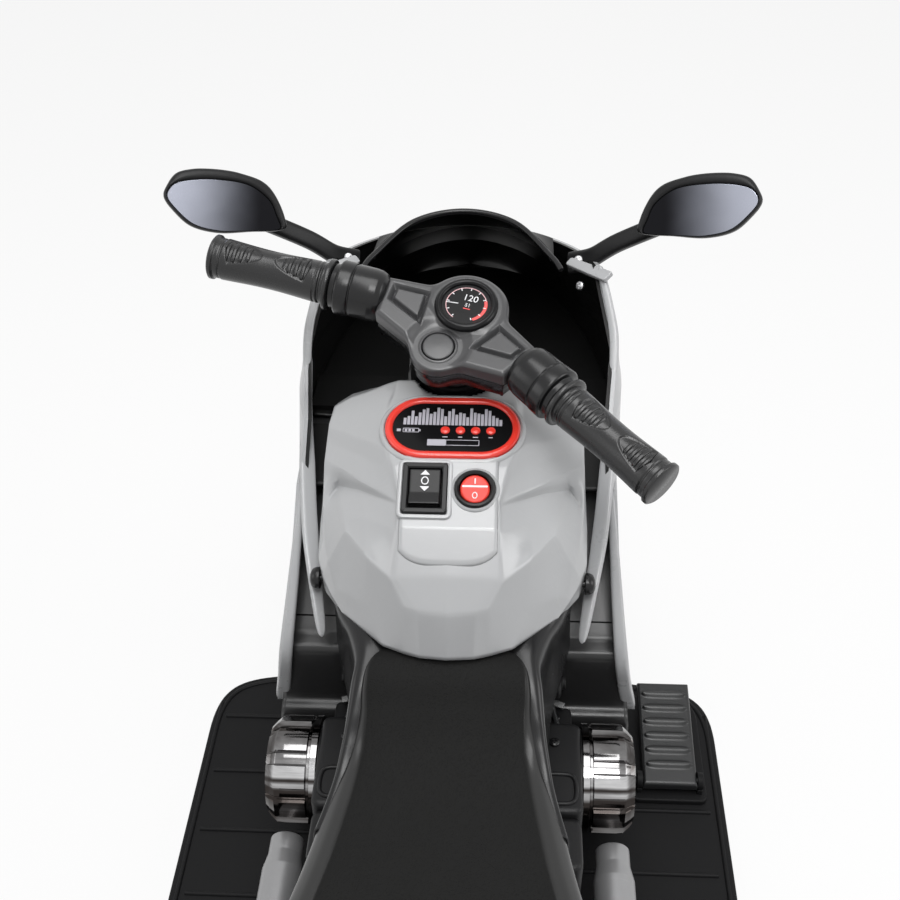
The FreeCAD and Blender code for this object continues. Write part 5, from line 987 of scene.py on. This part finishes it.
# Seat: rows of (Y, height of the top, half width of the top, half width below)
SEAT_BASE = 262.0
SEAT_ROWS = [
    (34.0, 58.0, 32.0, 36.0), (26.0, 60.5, 40.0, 43.0), (17.0, 61.5, 44.0, 49.0), (7.0, 57.5, 45.0, 51.5),
    (-5.0, 47.5, 44.5, 53.5), (-22.0, 36.0, 45.5, 57.0), (-42.0, 29.5, 49.0, 62.0), (-80.0, 26.0, 56.5, 70.0),
    (-150.0, 27.0, 73.0, 86.0), (-225.0, 38.0, 80.0, 90.0), (-258.0, 50.0, 72.0, 82.0),
    (-272.0, 55.0, 67.5, 77.0), (-279.0, 54.0, 62.0, 70.0), (-281.2, 48.0, 55.0, 61.0),
]


def make_seat():
    """Sections of a crowned top, a rounded edge and a tucked side, joined by smooth curves from front to rear."""
    sections = [[(0, y, top + 1.6), (half * 0.35, y, top + 1.4), (half * 0.7, y, top + 0.7),
                 (half - 4, y, top - 0.6), (half, y, top - 3.2), (half + (side - half) * 0.5, y, top * 0.78),
                 (side, y, top * 0.52), (side - 1.5, y, top * 0.25), (side - 5, y, 0.4)]
                for y, top, half, side in SEAT_ROWS]
    right = spline(spline(sections, 90).transpose(1, 0, 2), 60).transpose(1, 0, 2) + SEAT_BASE * UP
    rings = whole(right)
    rows = np.array(SEAT_ROWS[::-1])
    width = np.interp(rings[..., 1], rows[:, 0], rows[:, 2])
    grain = ease(width - np.abs(rings[..., 0]), -1.5, 2.5)
    piece("seat_skin", [tube(rings)], "seat_black", ["seat"], crease=60, marks={"grain": grain.ravel()})


# Bright engine covers
BARREL = sideways(0, 30.0, 203.0)
# along X, radius, depth of the flutes
BARREL_LINE = [(80.0, 31.0, 0), (80.4, 33.0, 0), (84.0, 33.0, 0), (84.6, 31.0, 0), (86.0, 31.0, 0),
               (86.6, 33.0, 3.0), (102.0, 33.0, 3.0), (105.5, 32.6, 3.0), (109.0, 29.5, 2.4), (111.4, 27.0, 1.2),
               (112.0, 24.0, 0), (112.2, 18.0, 0), (112.3, 0.2, 0)]
# angle round the barrel, how bright the painted reflection is there
BARREL_REFLECTION_BANDS = [(0, 0.2), (40, 0.28), (60, 0.4), (70, 0.26), (76, 0.04), (84, 0.24), (90, 0.28), (104, 0.32),
                (122, 0.58), (134, 0.6), (138, 0.06), (142, 0.5), (148, 0.4), (152, 0.04), (158, 0.03), (172, 0.2),
                (186, 0.03), (198, 0.3), (216, 0.05), (262, 0.2), (330, 0.3), (360, 0.2)]


def make_barrels():
    """Turned about X: broad lands between shallow flutes, a collar, and a stepped, chamfered outer end, with a
    painted reflection in bands round it.
    """
    x, base, depth = spread(np.array(BARREL_LINE), [8] * (len(BARREL_LINE) - 1), 0).T[:, :, None]
    a = turns(360)
    r = base - depth * ease(np.cos(9 * a + 0.9), 0.25, 0.6)
    painted_reflection = np.interp(np.degrees(a), *np.array(BARREL_REFLECTION_BANDS).T)
    # painted shade: darker in the flutes and on the chamfered outer end
    painted_reflection = painted_reflection * (0.75 + 0.25 * ease(r, 30.5, 32.5)) * (1 - 0.35 * ease(x, 105.0, 109.0))
    # painted reflection on the flat outer face: a plain mid tone that varies a little round it
    painted_reflection = np.where(x > 111.9, 0.4 + 0.1 * np.cos(2 * a), painted_reflection)
    piece("barrel_covers", both(BARREL.out(tube(polar(r, a, x)))), "chrome_look", ["engine_covers"], crease=30,
          marks={"painted_reflection": np.tile(painted_reflection.ravel(), 2)})


# Pedal and footboards
PIN_Y, PIN_Z = 97.0, 107.3
BOARD_TOP = 95.0


def make_pedal():
    """Sloping plate as a grid over (X, Y): six lens-shaped ribs, a smooth lower end and rolled edges."""
    x0, x1, y0, y1 = 132.0, 170.0, 91.0, 172.0
    u = np.linspace(0, 1, 61)[None]
    v = np.linspace(0, 1, 161)[:, None]
    x = x0 + (x1 - x0) * u + 0 * v
    y = y0 + (y1 - y0) * v + 0 * u
    under = 104.8 + 12.0 / 81.0 * (y - y0)
    z = under + 6.0
    half = 3.9 * np.sqrt(np.clip(1 - (np.abs(u - 0.5) * 2 / 0.84) ** 6, 0, 1))
    for k in range(6):
        z = z + 2.0 * np.where(half > 0.2, ridge(y, 106.0 + 11.2 * k, np.maximum(half, 0.2)), 0)
    near = np.minimum(np.minimum(x - x0, x1 - x), np.minimum(y - y0, y1 - y))
    top = np.stack([x, y, z - rolled(near, 2.2)], -1)
    foot = np.stack([x, y, under], -1)
    rims = [np.concatenate([g[0, :-1], g[:-1, -1], g[-1, :0:-1], g[:0:-1, 0]]) for g in (top, foot)]
    pin = turned(filleted([(2.5, -23.0), (2.5, 23.0)], 0.3, closed=False), 32)
    parts = [sheet(top), sheet(foot), sheet(np.stack(rims), wrap_cols=True),
             sideways(151.0, PIN_Y, PIN_Z).out(pin)]
    piece("pedal_plate", parts, "charcoal", ["pedal"], "pedal", TREAD_GREY, crease=45)


def rounded_bar(x, y, z, half_x, half_y, high, edge):
    """Box with a rounded top edge, standing on a point."""
    outline = rectangle(half_x, half_y, min(half_x, half_y) * 0.5)
    return Place((x, y, z), ACROSS, AHEAD, UP).out(plate(outline, 0.0, high, edge))


def make_pedal_tray():
    """Flat tray with rounded corners, two bearing eyes for the pedal's pin and a switch block under the plate."""
    corners = [(124.3, 85.3), (177.7, 85.3), (177.7, 177.7), (124.3, 177.7)]
    parts = [plate(filleted(corners, [6, 6, 22, 6], 9), 95.1, 99.3, 1.2)]
    eye = hoop(filleted([(2.8, 0.0), (2.8, 4.0), (6.0, 4.0), (6.0, 0.0)], 0.4, 4), 48)
    for x in (127.7, 170.3):
        parts.append(sideways(x, PIN_Y, PIN_Z).out(eye))
        parts.append(rounded_bar(x + 2.0, PIN_Y, 99.0, 2.0, 6.0, 4.8, 0.5))
    parts.append(rounded_bar(151.0, 148.0, 99.0, 6.0, 8.0, 6.3, 0.8))
    piece("pedal_tray", parts, "body_black", ["pedal_base"], finish=BOARD, crease=45)


def make_footboards():
    """Board with a rolled edge, a swept border and cross ribs; the wheel arch is turned about the axle."""
    outline = filleted([(50.3, 196), (112, 196), (172, 187), (189.7, 164), (189.7, -219.5), (50.3, -219.5)],
                       [3.2, 20, 24, 26, 3.2, 3.2], 9)[::-1]
    border = spline(filleted([(104, 190.5), (116, 190.5), (169, 182), (184.5, 161), (184.5, -214)],
                             [1, 18, 22, 24, 1], 9, False), 90)
    wall = filleted([(120.3, 95.0), (189.7, 95.0), (189.7, 99.0), (120.3, 99.0)], 1.4, 5)
    arch = polar(wall[:, 1], np.radians(np.linspace(-0.6, 118.0, 90))[:, None], wall[:, 0])
    parts = [plate(outline, 88.0, BOARD_TOP, 1.6), sweep(raised(border, 94.8), oval(1.7, 1.5, 20)),
             sideways(0, -315.0, 85.0).out(tube(arch))]
    # the pedal's tray leaves room for fewer ribs on the right
    for side, front, count in (("right", 79.5, 6), ("left", 151.0, 7)):
        lines = [np.linspace((72, y, BOARD_TOP), (179, y, BOARD_TOP), 12) for y in front - 48.9 * np.arange(count)]
        surfaces = parts + [sweep(line, oval(1.7, 1.7, 20)) for line in lines]
        if side == "left":
            surfaces = [twin(surface) for surface in surfaces]
        piece("footboard_skin_" + side, surfaces, "body_black", ["footboard_" + side], finish=BOARD, crease=45)


# Wheels and exhausts
def tyre_skin(radius, width, blocks):
    """Section with a round crown carried about the axle; slanted grooves and two rings are cut into the tread."""
    half, edge, inner = width / 2, radius - 17.0, radius - 32.0
    bend = (half ** 2 + 17.0 ** 2) / 34.0
    across = np.linspace(-half, half, 41)
    crown = np.column_stack([across, radius - bend + np.sqrt(bend ** 2 - across ** 2)])
    side, reach = evenly(np.concatenate([crown, [(half, inner), (-half, inner)]]), 132).T[:, None]
    turn = turns(480)[:, None]
    off = np.abs(side)
    tread = ease(reach, edge + 0.5, edge + 3.5)
    slant = ease(np.cos(blocks * turn + 4.6 * off / half), 0.45, 0.75) * ease(off, 5.2, 6.6)
    r = reach - 2.2 * tread * np.maximum(slant, ridge(off, 5.2, 1.8))
    rings = ridge(reach, edge - 3.5, 1.8) + ridge(reach, edge - 10.0, 1.8)
    x = side - np.sign(side) * 0.9 * rings * (off > half - 1.0)
    return sheet(polar(r, turn, x), True, True)


def make_tyres():
    """A treaded tyre in the middle of each wheel's own box, square to its axle."""
    for node, radius, width, axle in (("front_tyre", 88.0, 46.0, STEER_RIGHT),
                                      ("rear_tyre_left", 85.0, 50.0, ACROSS),
                                      ("rear_tyre_right", 85.0, 50.0, ACROSS)):
        place = square_to(np.mean(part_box(node), axis=0) / MM, axle, UP)
        piece(node + "_tread", [place.out(tyre_skin(radius, width, 26))], "wheel_black", [node],
              node.replace("tyre", "wheel"), crease=40)


def make_exhausts():
    """Turned pipe with a taper, two clamp rings and a rolled open end, carried by a flat stay."""
    pipe = filleted([(9.0, 0.0), (10.4, 0.6), (10.4, 12.0), (12.4, 22.0), (12.4, 60.0), (13.0, 60.6), (13.0, 69.4),
                     (12.4, 70.0), (12.4, 146.0), (11.8, 147.0), (11.8, 157.0), (13.0, 160.0), (13.0, 168.4),
                     (12.2, 169.9), (10.8, 169.9), (10.4, 168.0), (10.4, 90.0), (0.05, 88.0)],
                    0.6, 4, closed=False)
    tail = Place((100.0, -3.3, 176.0), ACROSS, UP, -AHEAD).out(turned(pipe))
    stay = sweep(np.linspace((50.4, -68.3, 176.0), (90.0, -68.3, 176.0), 8), rectangle(5.0, 4.6, 1.4, 4))
    piece("exhaust_pipes", both(tail, stay), "chrome_look", ["exhausts"], finish=EXHAUST, crease=35)


def make_flank_covers():
    """Raised cover on each side behind the engine, with slanted half-round louvres."""
    face = sideways(50.0, 0.0, 0.0)
    outline = filleted([(-74, 202), (-92, 250), (-262, 250), (-300, 222), (-288, 202)], 9.0)
    parts = [face.out(plate(outline, -0.4, 3.6, 1.4))]
    louvre = sweep(np.linspace((-116.0, 210.0, 3.2), (-130.0, 241.0, 3.2), 10), oval(2.2, 1.8, 20))
    parts += [face.out(louvre, -22.0 * k) for k in range(6)]
    piece("flank_covers", both(*parts), "body_black", finish=SATIN, crease=45)


# Fairing and side panels
FAIRING_FOOT = [(0, 400), (50, 375), (84, 315), (101, 245), (101, 200)]


def make_cockpit():
    """Dark floor inside the fairing: rows from the middle out to the wall, dished by the square of the share."""
    edge = spline(FAIRING_FOOT, 60)
    share = np.linspace(0, 1, 24)[:, None]
    x = share * edge[:, 0] * 0.97
    y = edge[:, 1] - 6.0 * ease(edge[:, 1], 240.0, 400.0) + 0 * share
    z = 346.5 + 3.5 * share ** 2 + 0 * y
    floor = sheet(whole(np.stack([x, y, z], -1), 0))
    across, back = np.meshgrid(np.linspace(64, 97, 16), np.linspace(206, 148, 24))
    ledge = np.stack([across, back, 348.0 - 0.2 * (206.0 - back)], -1)
    piece("cockpit_floor", [floor] + both(sheet(ledge)), "liner_black", wall=2.0)


def edge_roll(points, wide, deep, lean, count=60):
    """Rounded strip along a panel's edge: a flat oval section, leaning towards the rider, with tapered ends."""
    t = np.linspace(0, 1, count)
    taper = np.sqrt(np.clip(1 - (2 * t - 1) ** 12, 0.02, 1))
    wide = np.interp(t, np.linspace(0, 1, len(wide)), wide)
    scale = np.stack([wide * taper, deep * taper], 1)
    return sweep(spline(points, count), oval(1, 1, 28, 0.6) * scale[:, None], lean)


def make_side_trim():
    """Two rolled strips on each side, and a stepped skin: a folded line drawn out sideways."""
    strip = edge_roll([(95.5, 144, 345), (99.5, 102, 301), (103.4, 74.5, 267), (108.0, 76.5, 236),
                       (114.0, 85, 203)], [1.8, 3.4, 4.2, 4.4, 5.0], 3.0, (-0.15, -0.75, 0.65))
    blade = edge_roll([(96.6, 212, 393), (96.0, 184, 372), (93.0, 150, 352), (88.0, 112, 329), (82.0, 82, 308),
                       (77.5, 62, 291)], [2.4, 3.2, 5.0, 5.0, 3.8, 2.6], 2.0, (-0.45, -0.45, 0.78))
    piece("side_blade_trims", both(blade), "fairing_grey", ["side_blades"], crease=55)
    piece("side_strips", both(strip), "fairing_grey", crease=55)
    steps = [(204, 350), (182, 338), (150, 308), (118, 285), (93, 265.5), (90, 263), (80.5, 261), (78.5, 257),
             (77.8, 217), (76.5, 213), (71, 211.6), (69, 208), (69, 150), (78, 96)]
    y, z = filleted(steps, 2.6, 6, closed=False).T[:, :, None]
    share = np.linspace(0, 1, 24)
    inner, reach = 51.0, 97.0 + np.clip((345.0 - z) * 0.11, 0, 16)
    x = inner + (reach - inner) * share
    skin = np.stack([x, y - 10.0 * ridge(share, 0.0, 0.12), z + 0 * x], -1)
    piece("side_skins", both(sheet(skin)), "liner_black", finish=FLANK, crease=50, wall=2.0)


def screw(at, facing, radius):
    """Pan head with a cross slot pressed into it, turned about the direction it faces."""
    up = (0.3, 0.2, 1.0) if abs(unit(facing)[2]) < 0.9 else ACROSS
    r = np.linspace(1, 0.02, 14)[:, None]
    a = turns(48)
    slot = np.minimum(np.abs(r * np.cos(a)), np.abs(r * np.sin(a))) < 0.14
    z = 0.25 + 0.35 * np.sqrt(1 - r ** 2 * 0.96) - 0.3 * (slot & (r < 0.62))
    rings = np.concatenate([polar(r[:1], a, -0.4), polar(r, a, z)])
    return square_to(at, facing, np.array(up)).out(tube(rings * radius))


def make_fairing_trim():
    """Rolled lips with a tab, screws, and a bead carried along the screen's lower edge."""
    back = [(88.0, 253.0, 434.4), (93.0, 240.0, 420.0), (97.6, 222.0, 402.0), (97.0, 200.0, 386.0)]
    tab = filleted([(-17.0, -2.6), (16.0, -4.2), (18.0, 3.6), (-16.0, 3.4)], 2.0)
    place = lying((81.0, 255.0, 430.5), (27.0, -24.0, 3.0), (-0.1, -0.55, 0.83))
    lips = [edge_roll(back, [2.0, 2.6, 3.0, 2.6], 2.2, (-0.2, -0.7, 0.7)), place.out(plate(tab, -1.5, 1.6, 0.8))]
    piece("fairing_lips", both(*lips), "fairing_grey", crease=50)
    heads = [screw((75.5, 269.0, 428.6), (-0.1, -0.7, 0.7), 3.0),
             screw((76.0, 250.0, 421.0), (-0.6, -0.6, 0.5), 2.8)]
    piece("fairing_screws", both(*heads), "steel")
    piece("screen_screw", [screw((0, 337.0, 425.0), (0, -0.8, 0.6), 2.4)], "steel")
    foot = spline([(-63.5, 250), (-57, 262), (-33, 292), (0, 302), (33, 292), (57, 262), (63.5, 250)], 90)
    path = raised(foot, 435.0 + 0.25 * (foot[:, 1:] - 259.0))
    piece("screen_edge", [sweep(path, oval(1.9, 1.6, 16))], "screen_smoke", finish=FINISHES["body_black"],
          crease=60)


# Engine side
def make_engine_side():
    """Moulded engine detail between the seat and the bright barrel: housing, boss, bracket, bolts and box."""
    hub = filleted([(24.0, 52.0), (24.0, 76.0), (29.5, 77.0), (29.5, 80.0)], 0.6, 4, closed=False)
    boss = filleted([(11.5, 50.0), (11.5, 66.0), (9.5, 68.0), (5.0, 68.6), (4.6, 71.0), (0.05, 71.4)], 0.8, 4,
                    closed=False)
    bead = filleted([(56, 8, 237), (74, 8, 237), (75.5, -2, 237), (74, -12, 237), (56, -12, 237)], 6.0, 8,
                    closed=False)
    solid = [BARREL.out(turned(hub, 72)), sideways(0, 78.0, 236.0).out(turned(boss, 64)),
             rounded_bar(67.5, 14.0, 190.0, 11.5, 32.0, 47.0, 3.0),
             rounded_bar(65.0, -34.0, 186.0, 13.0, 17.0, 46.0, 3.0), sweep(bead, oval(1.4, 1.4, 16)),
             rounded_bar(63.0, 60.0, 196.0, 12.0, 9.0, 26.0, 2.0)]
    piece("engine_side", both(*solid), "body_black", ["engine_blocks"], finish=SATIN, crease=42)
    strut = sweep(spline([(57, 98, 286), (58, 86, 262), (61, 66, 236), (66, 48, 229)], 30),
                  rectangle(2.0, 1.4, 0.8, 4), (1, 0, 0.3))
    foot = sweep(spline([(52, 70, 232), (60, 67, 230), (70, 64, 229)], 20), rectangle(2.4, 1.2, 0.8, 4),
                 (0, -0.5, 1))
    bolts = [screw((63.0, 30.0, 237.5), UP, 3.0), screw((64.0, -36.0, 232.5), UP, 3.2),
             screw((65.0, 60.0, 222.5), UP, 2.6)]
    piece("engine_brackets", both(strut, foot), "steel", finish=TREAD_GREY, crease=50)
    piece("engine_bolts", both(*bolts), "steel", finish=SLEEVE)


# Shoulders between the tank and the seat: lines from front to rear
SHOULDER_LINES = [
    [(54, 84, 325), (46, 64, 325), (38, 48, 324), (32, 32, 321), (34, 14, 314), (38, 0, 304), (42, -14, 294),
     (46, -32, 283), (54, -60, 278)],
    [(72, 79, 321), (65, 59, 321), (57, 44, 320.5), (51, 26, 319), (52, 11, 313), (53.5, -4, 303),
     (55.5, -16, 294), (59, -34, 284), (66, -60, 278)],
    [(71, 78, 300), (64, 59, 296), (57.5, 42, 291), (54.5, 25, 287), (54.5, 9, 283), (55.5, -5, 279),
     (57.5, -18, 275), (61, -36, 270), (68, -62, 268)],
    [(72, 78, 270), (67, 60, 262), (62, 42, 258), (59.5, 24, 256), (58, 8, 255), (58, -6, 254), (59.5, -20, 253),
     (63, -38, 252), (70, -64, 252)],
]


def make_shoulders():
    """Hollow-flanked skin: four curves, from under the tank down to the body's side, joined by smooth arcs."""
    grid = spline([spline(line, 80) for line in SHOULDER_LINES], 40)
    piece("shoulders", both(sheet(grid)), "body_black", crease=60, wall=1.5)


# Stage
def seen(tree):
    """1 for what the camera sees, straight, mirrored or through a clear piece, and 0 for the light itself."""
    rays = tree.nodes.new("ShaderNodeLightPath").outputs
    value = Shade(tree, rays["Is Camera Ray"])
    for kind in ("Is Glossy Ray", "Is Transmission Ray"):
        value = value.math("MAXIMUM", Shade(tree, rays[kind]))
    return value


def stand(thing, right, up, back, at):
    """Puts a lamp or camera in its place, looking away from its back."""
    turn = np.eye(4)
    turn[:3] = np.column_stack([right, up, back, at])
    bpy.context.scene.collection.objects.link(thing)
    thing.matrix_world = Matrix(turn.tolist())


LAMPS = [
    ("rear_box", (0.1, -0.9, 2.3), (0, 0.05, 0.35), 0.8, 20.0),
    ("top_box", (0.0, 0.1, 1.9), (0, 0.1, 0.3), 0.8, 10.0),
    ("left_box", (-1.7, -0.2, 1.1), (0, 0.05, 0.3), 0.9, 4.0),
    ("right_box", (1.7, -0.2, 1.1), (0, 0.05, 0.3), 0.9, 9.0),
]


def set_stage():
    """Pale floor, white surroundings for what the camera and mirrors see, and soft studio lamps."""
    scene = bpy.context.scene
    scene.view_settings.view_transform = "Standard"
    white = (1, 1, 1, 1)
    scene.world = bpy.data.worlds.new("studio")
    tree, output = bare_tree(scene.world, "ShaderNodeOutputWorld")
    share = seen(tree)
    shown, soft = (share.node("ShaderNodeBackground", {}, {"Color": white, "Strength": strength})
                   for strength in (1.0, 0.36))
    tree.links.new(share.node("ShaderNodeMixShader", {}, {0: share, 1: soft, 2: shown}).socket, output)

    half = 6.0
    ground = bpy.data.meshes.new("floor")
    corners = [(-half, -half, 0), (half, -half, 0), (half, half, 0), (-half, half, 0)]
    ground.from_pydata(corners, [], [(0, 1, 2, 3)])
    floor = bpy.data.objects.new("floor", ground)
    scene.collection.objects.link(floor)
    material = bpy.data.materials.new("pale_floor")
    tree, output = bare_tree(material, "ShaderNodeOutputMaterial")
    share = seen(tree)
    matt = share.node("ShaderNodeBsdfDiffuse", {}, {"Color": (0.86, 0.86, 0.86, 1)})
    glow = share.node("ShaderNodeEmission", {}, {"Color": white, "Strength": 1.02})
    tree.links.new(share.node("ShaderNodeMixShader", {}, {0: share * 0.82, 1: matt, 2: glow}).socket, output)
    ground.materials.append(material)

    for name, at, target, size, power in LAMPS:
        lamp = bpy.data.lights.new(name, "AREA")
        lamp.size = size
        lamp.energy = power
        back = unit(np.subtract(at, target))
        side = unit(np.cross((0, 1, 0.01), back))
        stand(bpy.data.objects.new(name, lamp), side, np.cross(back, side), back, at)


def set_camera():
    """The photographer's place: above and behind the seat, looking forward and down."""
    pitch, yaw, roll = 0.69756, 0.0610002, -0.0203457
    right = np.array([math.cos(yaw), math.sin(yaw), 0])
    ahead = np.array([-math.sin(yaw), math.cos(yaw), 0])
    back = math.sin(pitch) * UP - math.cos(pitch) * ahead
    up = math.sin(pitch) * ahead + math.cos(pitch) * UP
    lens = bpy.data.cameras.new("photo")
    lens.sensor_width = 36.0
    lens.lens = 48.07
    camera = bpy.data.objects.new("photo", lens)
    stand(camera, math.cos(roll) * right + math.sin(roll) * up, math.cos(roll) * up - math.sin(roll) * right, back,
          np.array([30.65, -413.34, 838.16]) * MM)
    bpy.context.scene.camera = camera


for make in (dress_nodes, make_tank, make_audio, make_switches, make_power_key, make_head, make_gauge, make_horn,
             make_grips, make_mirrors, make_seat, make_barrels, make_pedal, make_pedal_tray, make_footboards,
             make_tyres, make_exhausts, make_flank_covers, make_cockpit, make_side_trim, make_fairing_trim,
             make_engine_side, make_shoulders, set_stage, set_camera):
    make()
